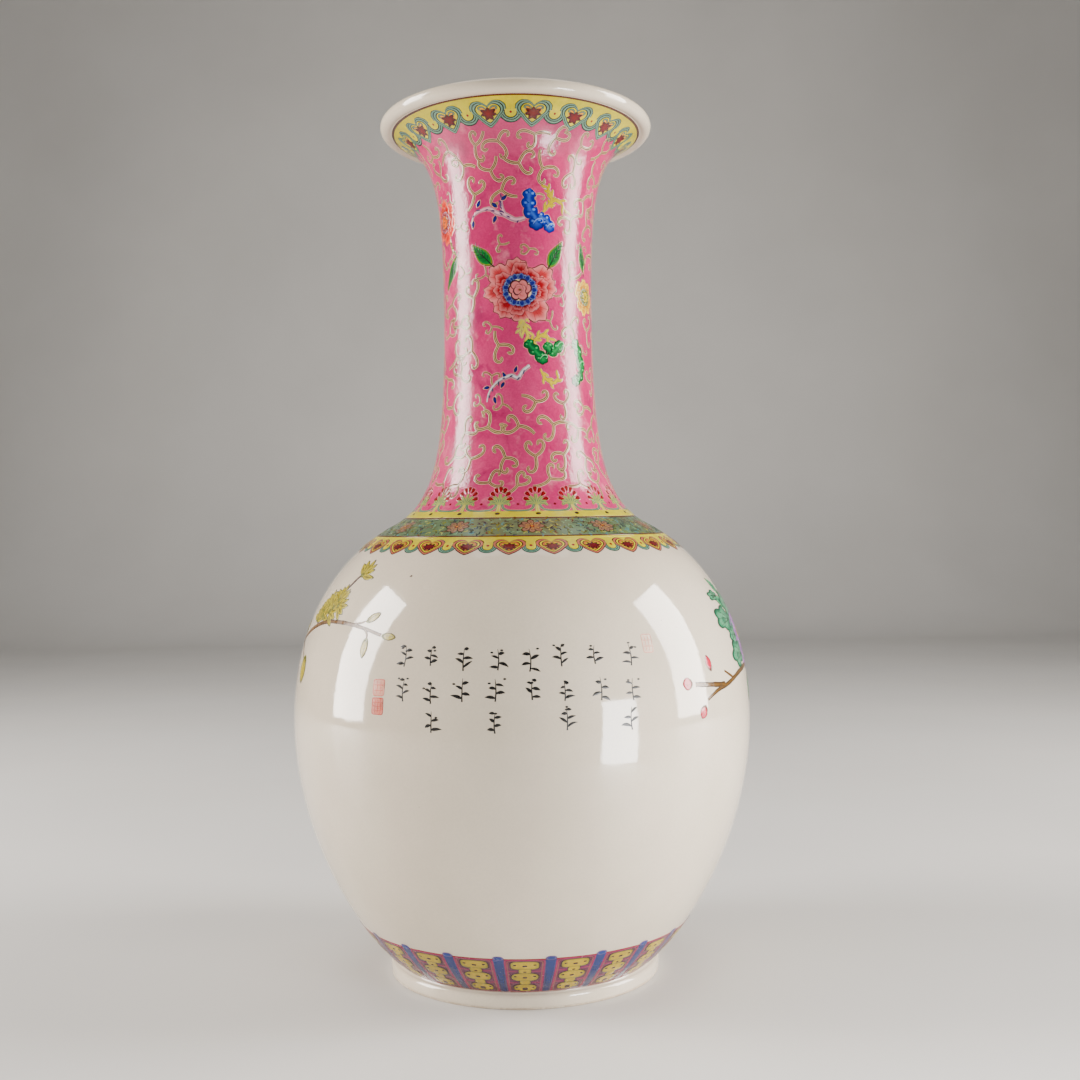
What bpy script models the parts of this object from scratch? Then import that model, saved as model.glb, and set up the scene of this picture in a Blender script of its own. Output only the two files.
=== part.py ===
"""A tall porcelain bottle vase, made the way a large one is: five thrown and turned sections, stacked and
luted with clay slip, each joint backed inside by a smoothed coil of clay.

Run it with blender --background --python part.py, or from Blender's text editor.
Metres, +Z up, origin at the middle of the foot's flat rim.
"""

import math

import bmesh
import bpy
from mathutils import Vector

# ---- driving dimensions ----------------------------------------------------------------------------

# Outer shape, from the foot up. Each rise is counted from the station below it.
FOOT_RADIUS = 0.0727
FOOT_HEIGHT = 0.0076
HEEL_RADIUS = 0.0695
BELLY_RISE = 0.1286
GIRTH_RADIUS = 0.1232
SHOULDER_RISE = 0.1035
SHOULDER_RADIUS = 0.0697
NECK_RISE = 0.1150
WAIST_RADIUS = 0.0404
FLARE_RISE = 0.0990
LIP_RADIUS = 0.0705
BEAD_RADIUS = 0.0036

# How steeply the wall runs at the stations where it isn't upright, from the horizontal.
HEEL_SLOPE = math.radians(40)
SHOULDER_SLOPE = math.radians(28)
FLARE_SLOPE = math.radians(24)
BEAD_START = math.radians(-129)

# How full each stretch of the wall is: its two curve handles, as shares of that stretch's own rise.
LOWER_BELLY_FULLNESS = (0.29, 0.40)
UPPER_BELLY_FULLNESS = (0.435, 0.39)
NECK_FULLNESS = (0.21, 0.71)
FLARE_FULLNESS = (0.71, 0.26)

# Walls, measured square to the outer surface.
HEEL_WALL = 0.0075
GIRTH_WALL = 0.0058
SHOULDER_WALL = 0.0055
WAIST_WALL = 0.0047
LIP_WALL = 0.0042

# Foot and floor.
RIM_WIDTH = 0.0085
RIM_CHAMFER = 0.0010
RECESS_DEPTH = 0.0105
RECESS_DRAFT = 0.0015
FLOOR_THICKNESS = 0.0075
FLOOR_FILLET = 0.0120

# Where the sections are luted. The other two joints are at the girth and at the shoulder.
BASE_JOINT_RISE = 0.0240
MOUTH_JOINT_RISE = 0.0600

# Luting: a film of slip between the walls, and a coil of clay over the joint inside.
SLIP_THICKNESS = 0.0010
COIL_HALF_WIDTH = 0.0035
COIL_THICKNESS = 0.0016
CLEARANCE = 0.0003

# Fineness of the turned solids.
SEGMENTS = 36
STRETCH_POINTS = 8
BEAD_POINTS = 8
FILLET_POINTS = 4

PORCELAIN = (0.83, 0.81, 0.76)
SLIP_CLAY = (0.78, 0.75, 0.69)


# ---- the outer wall as four joined curves ----------------------------------------------------------

def heading(angle):
    """A unit step in the (radius, height) plane, at an angle above the outward direction."""
    return Vector((math.cos(angle), math.sin(angle)))


class Stretch:
    """One cubic curve of the outer wall, running upwards, with a wall thickness at each end."""

    def __init__(self, start, leaving, end, arriving, fullness, walls):
        rise = end.y - start.y
        self.points = (start, start + leaving * rise * fullness[0], end - arriving * rise * fullness[1], end)
        self.walls = walls

    def at(self, share):
        """The point at a share of the way along."""
        a, b, c, d = self.points
        rest = 1 - share
        return a * rest**3 + b * 3 * rest**2 * share + c * 3 * rest * share**2 + d * share**3

    def direction(self, share):
        a, b, c, d = self.points
        rest = 1 - share
        slope = (b - a) * rest**2 + (c - b) * 2 * rest * share + (d - c) * share**2
        return slope.normalized()

    def wall(self, share):
        return self.walls[0] + (self.walls[1] - self.walls[0]) * share

    def frame(self, share):
        """(point, upward direction along the wall, direction into the wall, wall thickness)."""
        up = self.direction(share)
        return self.at(share), up, Vector((-up.y, up.x)), self.wall(share)

    def share_at_height(self, height):
        """The share of the way along where the wall has this height, by halving."""
        low, high = 0.0, 1.0
        for _ in range(40):
            middle = (low + high) / 2
            if self.at(middle).y < height:
                low = middle
            else:
                high = middle
        return low


UPRIGHT = heading(math.pi / 2)

heel = Vector((HEEL_RADIUS, FOOT_HEIGHT))
girth = Vector((GIRTH_RADIUS, heel.y + BELLY_RISE))
shoulder = Vector((SHOULDER_RADIUS, girth.y + SHOULDER_RISE))
waist = Vector((WAIST_RADIUS, shoulder.y + NECK_RISE))
under_lip = Vector((LIP_RADIUS, 0)) + heading(BEAD_START) * BEAD_RADIUS
under_lip.y = waist.y + FLARE_RISE
bead_centre = under_lip - heading(BEAD_START) * BEAD_RADIUS

shoulder_heading = heading(math.pi - SHOULDER_SLOPE)
lower_belly = Stretch(heel, heading(HEEL_SLOPE), girth, UPRIGHT, LOWER_BELLY_FULLNESS, (HEEL_WALL, GIRTH_WALL))
upper_belly = Stretch(
    girth, UPRIGHT, shoulder, shoulder_heading, UPPER_BELLY_FULLNESS, (GIRTH_WALL, SHOULDER_WALL)
)
neck_root = Stretch(shoulder, shoulder_heading, waist, UPRIGHT, NECK_FULLNESS, (SHOULDER_WALL, WAIST_WALL))
flare = Stretch(waist, UPRIGHT, under_lip, heading(FLARE_SLOPE), FLARE_FULLNESS, (WAIST_WALL, LIP_WALL))

base_joint = (lower_belly, lower_belly.share_at_height(heel.y + BASE_JOINT_RISE))
girth_joint = (upper_belly, 0.0)
shoulder_joint = (neck_root, 0.0)
mouth_joint = (flare, flare.share_at_height(waist.y + MOUTH_JOINT_RISE))

JOINT_HALF = SLIP_THICKNESS / 2 + CLEARANCE
LAND = COIL_HALF_WIDTH + 4 * CLEARANCE


# ---- profiles --------------------------------------------------------------------------------------

def joint_point(joint, along, inward):
    """A point near a joint: along is up the wall from its middle, inward is square to the outer surface."""
    stretch, share = joint
    point, up, into, _ = stretch.frame(share)
    return point + up * along + into * inward


def joint_wall(joint):
    stretch, share = joint
    return stretch.wall(share)


def wall_points(stretch, low, high, depth):
    """Points up a stretch between two shares. depth 0 is the outer surface and 1 the inner one."""
    found = []
    for step in range(STRETCH_POINTS):
        share = low + (high - low) * step / (STRETCH_POINTS - 1)
        point, _, into, wall = stretch.frame(share)
        found.append(point + into * wall * depth)
    return found


def clear_of_joint(points, joint, above):
    """The points that lie past a joint's straight land, on its upper or its lower side."""
    stretch, share = joint
    middle, up, _, _ = stretch.frame(share)
    side = 1 if above else -1
    return [point for point in points if (point - middle).dot(up) * side > LAND * 1.3]


def joint_ends(joint, above):
    """(outer, inner) points of a section's straight land next to a joint, from the joint outwards."""
    side = 1 if above else -1
    wall = joint_wall(joint)
    outer = [joint_point(joint, side * along, 0) for along in (JOINT_HALF, LAND)]
    inner = [joint_point(joint, side * along, wall) for along in (JOINT_HALF, LAND)]
    return outer, inner


def section_between(low_joint, high_joint, stretches):
    """The closed outline of a section, from its top down the outside and back up the inside."""
    low_outer, low_inner = joint_ends(low_joint, above=True)
    high_outer, high_inner = joint_ends(high_joint, above=False)

    def surface(depth):
        points = [point for stretch, low, high in stretches for point in wall_points(stretch, low, high, depth)]
        kept = clear_of_joint(clear_of_joint(points, low_joint, True), high_joint, False)
        return without_repeats(kept)

    outer = high_outer + surface(0)[::-1] + low_outer[::-1]
    inner = low_inner + surface(1) + high_inner[::-1]
    return outer + inner


def without_repeats(points):
    """Drops a point that stands on the one before it, where two stretches meet."""
    kept = points[:1]
    for point in points[1:]:
        if (point - kept[-1]).length > CLEARANCE:
            kept.append(point)
    return kept


def base_outline():
    """The foot ring, the recessed floor and the heel, from the axis underneath round to the axis inside."""
    outer_land, inner_land = joint_ends(base_joint, above=False)
    stretch, share = base_joint
    outer_wall = clear_of_joint(wall_points(stretch, 0.0, share, 0), base_joint, False)
    inner_wall = clear_of_joint(wall_points(stretch, 0.0, share, 1), base_joint, False)

    rim_inside = FOOT_RADIUS - RIM_WIDTH
    floor_top = RECESS_DEPTH + FLOOR_THICKNESS
    foot = [
        Vector((FOOT_RADIUS, FOOT_HEIGHT - RIM_CHAMFER)),
        Vector((FOOT_RADIUS, RIM_CHAMFER)),
        Vector((FOOT_RADIUS - RIM_CHAMFER, 0)),
        Vector((rim_inside + RIM_CHAMFER, 0)),
        Vector((rim_inside, RIM_CHAMFER)),
        Vector((rim_inside - RECESS_DRAFT, RECESS_DEPTH)),
        Vector((0, RECESS_DEPTH)),
    ]
    inner_above = [point for point in inner_wall + inner_land[::-1] if point.y > floor_top + FLOOR_FILLET]
    if not inner_above:
        inner_above = inner_land[:1]
    corner_top = inner_above[0]
    corner = Vector((corner_top.x - FLOOR_FILLET, floor_top))
    fillet = []
    for step in range(FILLET_POINTS):
        turn = math.pi / 2 * step / FILLET_POINTS
        reach = Vector((math.sin(turn), 1 - math.cos(turn)))
        fillet.append(corner + Vector((reach.x * FLOOR_FILLET, reach.y * (corner_top.y - floor_top))))
    inside = [Vector((0, floor_top))] + fillet + inner_above
    return outer_land + outer_wall[::-1] + foot + inside


def mouth_outline():
    """The flare above its joint and the rolled lip, from the lip's inside edge down the outside and back."""
    outer_land, inner_land = joint_ends(mouth_joint, above=True)
    stretch, share = mouth_joint
    outer = clear_of_joint(wall_points(stretch, share, 1.0, 0), mouth_joint, True)
    inner = clear_of_joint(wall_points(stretch, share, 1.0, 1), mouth_joint, True)
    inner_end = inner[-1] - bead_centre
    bead_end = math.atan2(inner_end.y, inner_end.x)
    bead = []
    for step in range(BEAD_POINTS):
        turn = bead_end + (BEAD_START - bead_end) * step / (BEAD_POINTS - 1)
        bead.append(bead_centre + heading(turn) * BEAD_RADIUS)
    return without_repeats(bead + outer[:-1][::-1] + outer_land[::-1]) + inner_land + inner[:-1]


def seam_outline(joint):
    """A film of slip through the wall, and the coil that backs it inside: a T lying on its side."""
    half = SLIP_THICKNESS / 2
    wall = joint_wall(joint)
    coil = wall + CLEARANCE
    soft_edge = COIL_HALF_WIDTH * 0.6
    return [
        joint_point(joint, half, 0),
        joint_point(joint, -half, 0),
        joint_point(joint, -half, coil),
        joint_point(joint, -COIL_HALF_WIDTH, coil),
        joint_point(joint, -soft_edge, coil + COIL_THICKNESS),
        joint_point(joint, soft_edge, coil + COIL_THICKNESS),
        joint_point(joint, COIL_HALF_WIDTH, coil),
        joint_point(joint, half, coil),
    ]


# ---- objects ---------------------------------------------------------------------------------------

def clear_scene():
    for obj in list(bpy.data.objects):
        bpy.data.objects.remove(obj, do_unlink=True)


def ceramic(name, colour, roughness):
    material = bpy.data.materials.new(name)
    material.use_nodes = True
    shader = material.node_tree.nodes["Principled BSDF"]
    shader.inputs["Base Color"].default_value = (*colour, 1)
    shader.inputs["Roughness"].default_value = roughness
    shader.inputs["Metallic"].default_value = 0
    return material


def turned(name, outline, seat, material, collection, parent, open_on_axis=False):
    """One turned object. Its own origin is on the axis, at the height where it sits on the piece below."""
    mesh = bpy.data.meshes.new(name)
    shape = bmesh.new()
    verts = [shape.verts.new((point.x, 0, point.y - seat)) for point in outline]
    ends = list(zip(verts, verts[1:] + verts[:1]))
    for start, end in ends:
        on_axis = open_on_axis and start.co.x == 0 and end.co.x == 0
        if not on_axis:
            shape.edges.new((start, end))
    shape.to_mesh(mesh)
    shape.free()

    obj = bpy.data.objects.new(name, mesh)
    obj.location.z = seat
    obj.parent = parent
    obj.data.materials.append(material)
    collection.objects.link(obj)
    screw = obj.modifiers.new("turn", "SCREW")
    screw.axis = "Z"
    screw.angle = 2 * math.pi
    screw.steps = SEGMENTS
    screw.render_steps = SEGMENTS
    screw.use_merge_vertices = True
    screw.merge_threshold = 0.00001
    screw.use_smooth_shade = True
    return obj


def seat_height(joint):
    stretch, share = joint
    return stretch.at(share).y


def main():
    clear_scene()
    collection = bpy.data.collections.new("porcelain_vase")
    bpy.context.scene.collection.children.link(collection)
    vase = bpy.data.objects.new("vase", None)
    collection.objects.link(vase)

    body_share = base_joint[1]
    mouth_share = mouth_joint[1]
    sections = [
        ("base", base_outline(), 0.0, True),
        (
            "lower_body",
            section_between(base_joint, girth_joint, [(lower_belly, body_share, 1.0)]),
            seat_height(base_joint),
            False,
        ),
        (
            "upper_body",
            section_between(girth_joint, shoulder_joint, [(upper_belly, 0.0, 1.0)]),
            seat_height(girth_joint),
            False,
        ),
        (
            "neck",
            section_between(shoulder_joint, mouth_joint, [(neck_root, 0.0, 1.0), (flare, 0.0, mouth_share)]),
            seat_height(shoulder_joint),
            False,
        ),
        ("mouth", mouth_outline(), seat_height(mouth_joint), False),
    ]
    for name, outline, seat, open_on_axis in sections:
        material = ceramic(name + "_porcelain", PORCELAIN, 0.12)
        turned(name, outline, seat, material, collection, vase, open_on_axis)

    seams = [
        ("base_seam", base_joint),
        ("girth_seam", girth_joint),
        ("shoulder_seam", shoulder_joint),
        ("mouth_seam", mouth_joint),
    ]
    for name, joint in seams:
        material = ceramic(name + "_slip", SLIP_CLAY, 0.6)
        turned(name, seam_outline(joint), seat_height(joint), material, collection, vase)


main()
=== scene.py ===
"""Looks of the porcelain bottle vase: the glazed body, and its enamels laid on as thin raised paint.

The vase stands at the origin. Angles run round it in degrees, 0 at the painted front (towards -Y) and
positive to the right. Distances along the wall are in millimetres from the heel, up the outer surface.
Every painted mark is drawn flat in millimetres and then laid on the wall.
"""

import math
import random

import bpy
import numpy as np
from mathutils import Matrix, Vector


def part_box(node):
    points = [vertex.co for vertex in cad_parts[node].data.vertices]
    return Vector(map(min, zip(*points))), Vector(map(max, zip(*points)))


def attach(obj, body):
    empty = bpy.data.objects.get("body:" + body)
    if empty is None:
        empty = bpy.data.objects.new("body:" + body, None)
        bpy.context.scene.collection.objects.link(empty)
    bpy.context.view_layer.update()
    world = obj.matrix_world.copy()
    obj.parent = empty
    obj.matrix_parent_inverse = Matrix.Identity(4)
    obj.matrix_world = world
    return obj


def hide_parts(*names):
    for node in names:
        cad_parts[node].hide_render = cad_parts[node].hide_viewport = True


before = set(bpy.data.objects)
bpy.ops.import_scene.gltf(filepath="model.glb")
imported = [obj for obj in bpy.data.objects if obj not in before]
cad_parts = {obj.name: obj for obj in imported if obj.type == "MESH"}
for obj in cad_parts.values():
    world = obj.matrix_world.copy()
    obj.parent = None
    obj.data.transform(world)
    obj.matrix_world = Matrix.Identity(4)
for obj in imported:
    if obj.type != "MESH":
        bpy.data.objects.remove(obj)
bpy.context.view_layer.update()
MM = 0.001
BODY = "root"
ENAMEL = "overglaze_enamel"

# ---- the wall, with the same driving sizes as the solids ----

FOOT_RADIUS = 72.7
FOOT_HEIGHT = 7.6
HEEL_RADIUS = 69.5
BELLY_RISE = 128.6
GIRTH_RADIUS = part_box("girth_seam")[1].x / MM
SHOULDER_RISE = 103.5
SHOULDER_RADIUS = 69.7
NECK_RISE = 115.0
WAIST_RADIUS = 40.4
FLARE_RISE = 99.0
LIP_RADIUS = 70.5
BEAD_RADIUS = 3.6
BEAD_START = math.radians(-129)
HEEL_SLOPE, SHOULDER_SLOPE, FLARE_SLOPE = math.radians(40), math.radians(28), math.radians(24)
RIM_WIDTH = 8.5
RECESS_DEPTH = 10.5
FLOOR_TOP = 18.0
FLOOR_FILLET = 12.0
WALLS = (7.5, 5.8, 5.5, 4.7, 4.2)  # at the heel, the girth, the shoulder, the waist and the lip
BARE_HEIGHT = 0.9  # of the unglazed ring
FINEST = 1.9  # how far apart a painted shape's points may lie, so that it follows the wall
SEGMENTS = 288


def heading(angle):
    return np.array([math.cos(angle), math.sin(angle)])


def cubic(start, leaving, end, arriving, fullness):
    """Points of a curve from start to end, whose handles are shares of the rise between them."""
    count = 170
    rise = end[1] - start[1]
    near, far = start + leaving * rise * fullness[0], end - arriving * rise * fullness[1]
    share = np.linspace(0, 1, count)[:, None]
    rest = 1 - share
    return start * rest**3 + near * 3 * rest**2 * share + far * 3 * rest * share**2 + end * share**3


def outer_wall():
    """The outer surface from the heel to under the lip: (radius, height) rows, and the wall's thickness."""
    heel = np.array([HEEL_RADIUS, FOOT_HEIGHT])
    girth = np.array([GIRTH_RADIUS, heel[1] + BELLY_RISE])
    shoulder = np.array([SHOULDER_RADIUS, girth[1] + SHOULDER_RISE])
    waist = np.array([WAIST_RADIUS, shoulder[1] + NECK_RISE])
    lip = np.array([LIP_RADIUS + math.cos(BEAD_START) * BEAD_RADIUS, waist[1] + FLARE_RISE])
    up, inwards = heading(math.pi / 2), heading(math.pi - SHOULDER_SLOPE)
    stretches = [
        cubic(heel, heading(HEEL_SLOPE), girth, up, (0.29, 0.40)),
        cubic(girth, up, shoulder, inwards, (0.435, 0.39)),
        cubic(shoulder, inwards, waist, up, (0.21, 0.71)),
        cubic(waist, up, lip, heading(FLARE_SLOPE), (0.71, 0.26)),
    ]
    points = np.concatenate([s[:-1] for s in stretches[:-1]] + [stretches[-1]])
    walls = [np.linspace(a, b, len(s))[:-1] for s, a, b in zip(stretches, WALLS, WALLS[1:])]
    return points, np.append(np.concatenate(walls), WALLS[-1])


WALL, THICKNESS = outer_wall()
STEPS = np.hypot(*np.diff(WALL, axis=0).T)
ALONG = np.concatenate([[0], np.cumsum(STEPS)])  # the distance up the wall of each of its points
SLOPE = np.gradient(WALL, axis=0)
SLOPE /= np.linalg.norm(SLOPE, axis=1)[:, None]
OUTWARD = np.stack([SLOPE[:, 1], -SLOPE[:, 0]], 1)

# How far the collar's bands sink at the front, and the share of that at distances up the wall.
LEAN = 3.5
LEAN_REACH = ((190, 0), (235, 1), (300, 1), (340, 0))


def radius_at(along):
    return np.interp(along, ALONG, WALL[:, 0])


def on_wall(turn, along, lift):
    """World places, in metres, of points given by angle in radians, distance up the wall and lift, in mm.
    The collar's bands were painted a little out of true, so they run lowest at the front."""
    along = along - LEAN * np.interp(along, *zip(*LEAN_REACH)) * np.cos(turn)
    radius = np.interp(along, ALONG, WALL[:, 0]) + np.interp(along, ALONG, OUTWARD[:, 0]) * lift
    height = np.interp(along, ALONG, WALL[:, 1]) + np.interp(along, ALONG, OUTWARD[:, 1]) * lift
    return np.stack([radius * np.sin(turn), -radius * np.cos(turn), height], -1) * MM


# ---- drawing kit ----

def paint(red, green, blue):
    """A linear colour from the familiar 0 to 255 values, deepened so that it holds up in soft light."""
    parts = np.array([red, green, blue], float) / 255
    linear = np.where(parts <= 0.04045, parts / 12.92, ((parts + 0.055) / 1.055) ** 2.4)
    grey = float(linear @ (0.2126, 0.7152, 0.0722))
    return np.clip(grey + (linear - grey) * 1.18, 0, 1) * 0.78


def mixed(a, b, share):
    return a * (1 - share) + b * share


def grid_faces(rows, columns, closed=False):
    """Triangles over a grid of points, row by row. closed joins the last column to the first."""
    across = np.arange(columns if closed else columns - 1)
    beside = (across + 1) % columns
    corner = (np.arange(rows - 1) * columns)[:, None]
    a, b = (corner + across).ravel(), (corner + beside).ravel()
    c, d = b + columns, a + columns
    return np.concatenate([np.stack([a, b, c], 1), np.stack([a, c, d], 1)])


class Drawing:
    """Flat painted shapes in millimetres: x to the right, y up, lift out of the wall."""

    def __init__(self):
        self.xy, self.lift, self.colour, self.faces, self.count = [], [], [], [], 0

    def add(self, xy, lift, colour, faces):
        self.xy.append(xy)
        self.lift.append(lift)
        self.colour.append(colour)
        self.faces.append(faces + self.count)
        self.count += len(xy)
        return self

    def ribbon(self, path, half, stops, base=0.0, fade=None):
        """A brush stroke along a path. half is its half width at each point. stops are (share of the half
        width, colour, height) from the middle out, and fade is a colour that it turns to along its length."""
        path = np.asarray(path, float)
        half = np.broadcast_to(np.asarray(half, float), (len(path),))
        slope = np.gradient(path, axis=0)
        slope /= np.maximum(np.linalg.norm(slope, axis=1), 1e-9)[:, None]
        side = np.stack([-slope[:, 1], slope[:, 0]], 1)
        inner = [s for s in stops if s[0] > 0]
        middle = [s for s in stops if s[0] == 0]
        across = [(-s, c, h) for s, c, h in inner[::-1]] + middle + inner
        shares = np.array([s for s, _, _ in across])
        thick = np.clip(half / max(half.max(), 1e-9), 0, 1) ** 0.5
        xy = path[:, None] + side[:, None] * (half[:, None] * shares)[..., None]
        lift = base + np.array([h for _, _, h in across]) * thick[:, None]
        colour = np.broadcast_to(np.array([c for _, c, _ in across]), (len(path), len(across), 3))
        if fade is not None:
            share = np.linspace(0, 1, len(path))[:, None, None]
            colour = mixed(colour, np.asarray(fade), share**1.5)
        return self.add(
            xy.reshape(-1, 2), lift.ravel(), colour.reshape(-1, 3),
            grid_faces(len(path), len(across))[:, ::-1]
        )

    def disc(self, contour, stops, at=(0, 0), base=0.0, centre=(0, 0)):
        """A filled shape whose outline is seen whole from its centre. stops run from the centre out, and at
        is where the shape's own origin goes."""
        contour = closely_spaced(np.asarray(contour, float) + np.asarray(at, float), FINEST)
        centre = np.asarray(centre, float) + np.asarray(at, float)
        stops = filled_in(stops, float(np.hypot(*(contour - centre).T).max()))
        rings = [s for s in stops if s[0] > 0]
        shares = np.array([s for s, _, _ in rings])
        n = len(contour)
        xy = centre + (contour - centre)[None] * shares[:, None, None]
        lift = np.repeat([h for _, _, h in rings], n)
        colour = np.repeat([c for _, c, _ in rings], n, axis=0)
        first = stops[0]
        xy = np.concatenate([[centre], xy.reshape(-1, 2)])
        lift = np.concatenate([[first[2]], lift]) + base
        colour = np.concatenate([[first[1]], colour])
        ring = np.arange(n)
        fan = np.stack([np.zeros(n, int), 1 + ring, 1 + (ring + 1) % n], 1)
        rest = grid_faces(len(rings), n, closed=True)[:, ::-1] + 1
        if signed_area(contour) < 0:
            fan, rest = fan[:, ::-1], rest[:, ::-1]
        return self.add(xy, lift, colour, np.concatenate([fan, rest]))

    def placed(self, other, at=(0, 0), turn=0.0, size=1.0, base=0.0):
        """Adds a copy of another drawing, scaled and turned in degrees."""
        xy, lift, colour, faces = other.arrays()
        cos, sin = math.cos(math.radians(turn)), math.sin(math.radians(turn))
        xy = xy * size @ np.array([[cos, sin], [-sin, cos]]) + np.asarray(at, float)
        return self.add(xy, lift + base, colour, faces)

    def arrays(self):
        return (
            np.concatenate(self.xy),
            np.concatenate(self.lift),
            np.concatenate(self.colour),
            np.concatenate(self.faces),
        )


def closely_spaced(contour, longest):
    """The closed outline with points added along any side longer than that, so that it follows the wall."""
    found = []
    for start, end in zip(contour, np.roll(contour, -1, axis=0)):
        parts = max(1, math.ceil(float(np.hypot(*(end - start))) / longest))
        found.extend(start + (end - start) * k / parts for k in range(parts))
    return np.array(found)


def filled_in(stops, reach):
    """A disc's stops with rings added between two that lie far apart."""
    found = [stops[0]]
    for (s0, c0, h0), (s1, c1, h1) in zip(stops, stops[1:]):
        parts = max(1, math.ceil((s1 - s0) * reach / FINEST))
        found.extend((s0 + (s1 - s0) * k / parts, mixed(c0, c1, k / parts), h0 + (h1 - h0) * k / parts)
                     for k in range(1, parts + 1))
    return found


def signed_area(contour):
    after = np.roll(contour, -1, axis=0)
    return float((contour[:, 0] * after[:, 1] - after[:, 0] * contour[:, 1]).sum())


def smooth_path(points, count=16, closed=False):
    """A curve through the points, evenly resampled."""
    p = np.asarray(points, float)
    if closed:
        p = np.concatenate([p[-1:], p, p[:2]])
    else:
        p = np.concatenate([2 * p[:1] - p[1:2], p, 2 * p[-1:] - p[-2:-1]])
    share = np.linspace(0, 1, 12, endpoint=False)[:, None]
    pieces = []
    for a, b, c, d in zip(p[:-3], p[1:-2], p[2:-1], p[3:]):
        pieces.append(
            0.5 * (
                2 * b + (c - a) * share + (2 * a - 5 * b + 4 * c - d) * share**2
                + (3 * b - a - 3 * c + d) * share**3
            )
        )
    fine = np.concatenate(pieces + [p[-2:-1]])
    run = np.concatenate([[0], np.cumsum(np.hypot(*np.diff(fine, axis=0).T))])
    at = np.linspace(0, run[-1], count + 1 if closed else count)
    found = np.stack([np.interp(at, run, fine[:, 0]), np.interp(at, run, fine[:, 1])], 1)
    return found[:-1] if closed else found


def curl_path(start, facing, length, bend, hook, count=16):
    """A tendril: it leaves at an angle in degrees, bends by bend degrees, and hooks more towards its tip."""
    share = np.linspace(0, 1, count)
    angle = np.radians(facing + bend * share + hook * share**3.2)
    step = length / (count - 1)
    moves = np.stack([np.cos(angle), np.sin(angle)], 1)[:-1] * step
    return np.asarray(start, float) + np.concatenate([[[0, 0]], np.cumsum(moves, 0)])


def tapered(count, start, middle, end, peak=0.5):
    """Half widths along a stroke, from its start through its fullest point to its end."""
    share = np.linspace(0, 1, count)
    rising = start + (middle - start) * np.sin(np.clip(share / peak, 0, 1) * math.pi / 2)
    falling = end + (middle - end) * np.cos(np.clip((share - peak) / (1 - peak), 0, 1) * math.pi / 2)
    return np.where(share < peak, rising, falling)


def rounded(count, half, ends=2):
    """Half widths of an even stroke with round ends."""
    place = np.minimum(np.arange(count), np.arange(count)[::-1]) / ends
    return half * np.sqrt(np.clip(1 - (1 - np.clip(place, 0, 1)) ** 2, 0.02, 1))


def oval(width, height, count=24, wobble=0.0, lobes=5, turn=0.0):
    """An oval outline, with scallops round it where it wobbles."""
    angle = np.linspace(0, 2 * math.pi, count, endpoint=False)
    reach = 1 + wobble * (np.abs(np.sin(lobes * angle / 2 + turn)) - 0.5)
    return np.stack([np.cos(angle) * width / 2 * reach, np.sin(angle) * height / 2 * reach], 1)


def around(turn, across, up):
    """The point at an angle in degrees on an oval with these half sizes."""
    return math.cos(math.radians(turn)) * across, math.sin(math.radians(turn)) * up


def facing_at(path, k):
    """The direction, in degrees, in which a path runs at one of its points."""
    ahead = path[k + 1] - path[k - 1]
    return math.degrees(math.atan2(ahead[1], ahead[0]))


class Piece:
    """One visible piece: gathers triangles on the wall and becomes an object."""

    def __init__(self):
        self.places, self.colours, self.faces, self.count = [], [], [], 0

    def add(self, places, colours, faces):
        self.places.append(places)
        self.colours.append(colours)
        self.faces.append(faces + self.count)
        self.count += len(places)

    def lay(self, drawing, turn, along, wedge=False):
        """Lays a drawing on the wall at an angle in degrees and a distance up the wall. A wedge keeps its
        angular width, as a motif in a ring of motifs does; otherwise its millimetres stay true."""
        xy, lift, colour, faces = drawing.arrays()
        up = along + xy[:, 1]
        radius = radius_at(along) if wedge else radius_at(up)
        self.add(on_wall(math.radians(turn) + xy[:, 0] / radius, up, lift), colour, faces)

    def ring_of(self, drawing, count, phase, along):
        for k in range(count):
            self.lay(drawing, phase + 360 * k / count, along, wedge=True)

    def band(self, low, high, colour, lift, edge=0.35, step=2.5):
        """A turned band of enamel whose two edges roll down to the glaze."""
        rows = np.concatenate([
            [low, low + edge * 0.4, low + edge],
            np.linspace(low + edge, high - edge, max(2, int((high - low) / step)) + 1)[1:-1],
            [high - edge, high - edge * 0.4, high],
        ])
        lifts = np.full(len(rows), lift)
        lifts[[0, -1]] = -0.03
        lifts[[1, -2]] = lift * 0.7
        turns = np.linspace(0, 2 * math.pi, SEGMENTS, endpoint=False)
        places = on_wall(turns[None, :], rows[:, None], lifts[:, None]).reshape(-1, 3)
        colours = np.broadcast_to(np.asarray(colour), (len(places), 3))
        self.add(places, colours, grid_faces(len(rows), SEGMENTS, closed=True))

    def finish(self, name, material, slot):
        """Makes the object, with its colours in the attribute that its enamel reads."""
        obj = mesh_object(name, np.concatenate(self.places), np.concatenate(self.faces))
        colours = np.concatenate(self.colours)
        tint = obj.data.attributes.new("paint", "FLOAT_COLOR", "POINT")
        four = np.concatenate([np.clip(colours, 0, 1), np.ones((len(colours), 1))], 1)
        tint.data.foreach_set("color", four.astype(np.float32).ravel())
        obj.data.materials.append(material)
        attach(obj, BODY)


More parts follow.
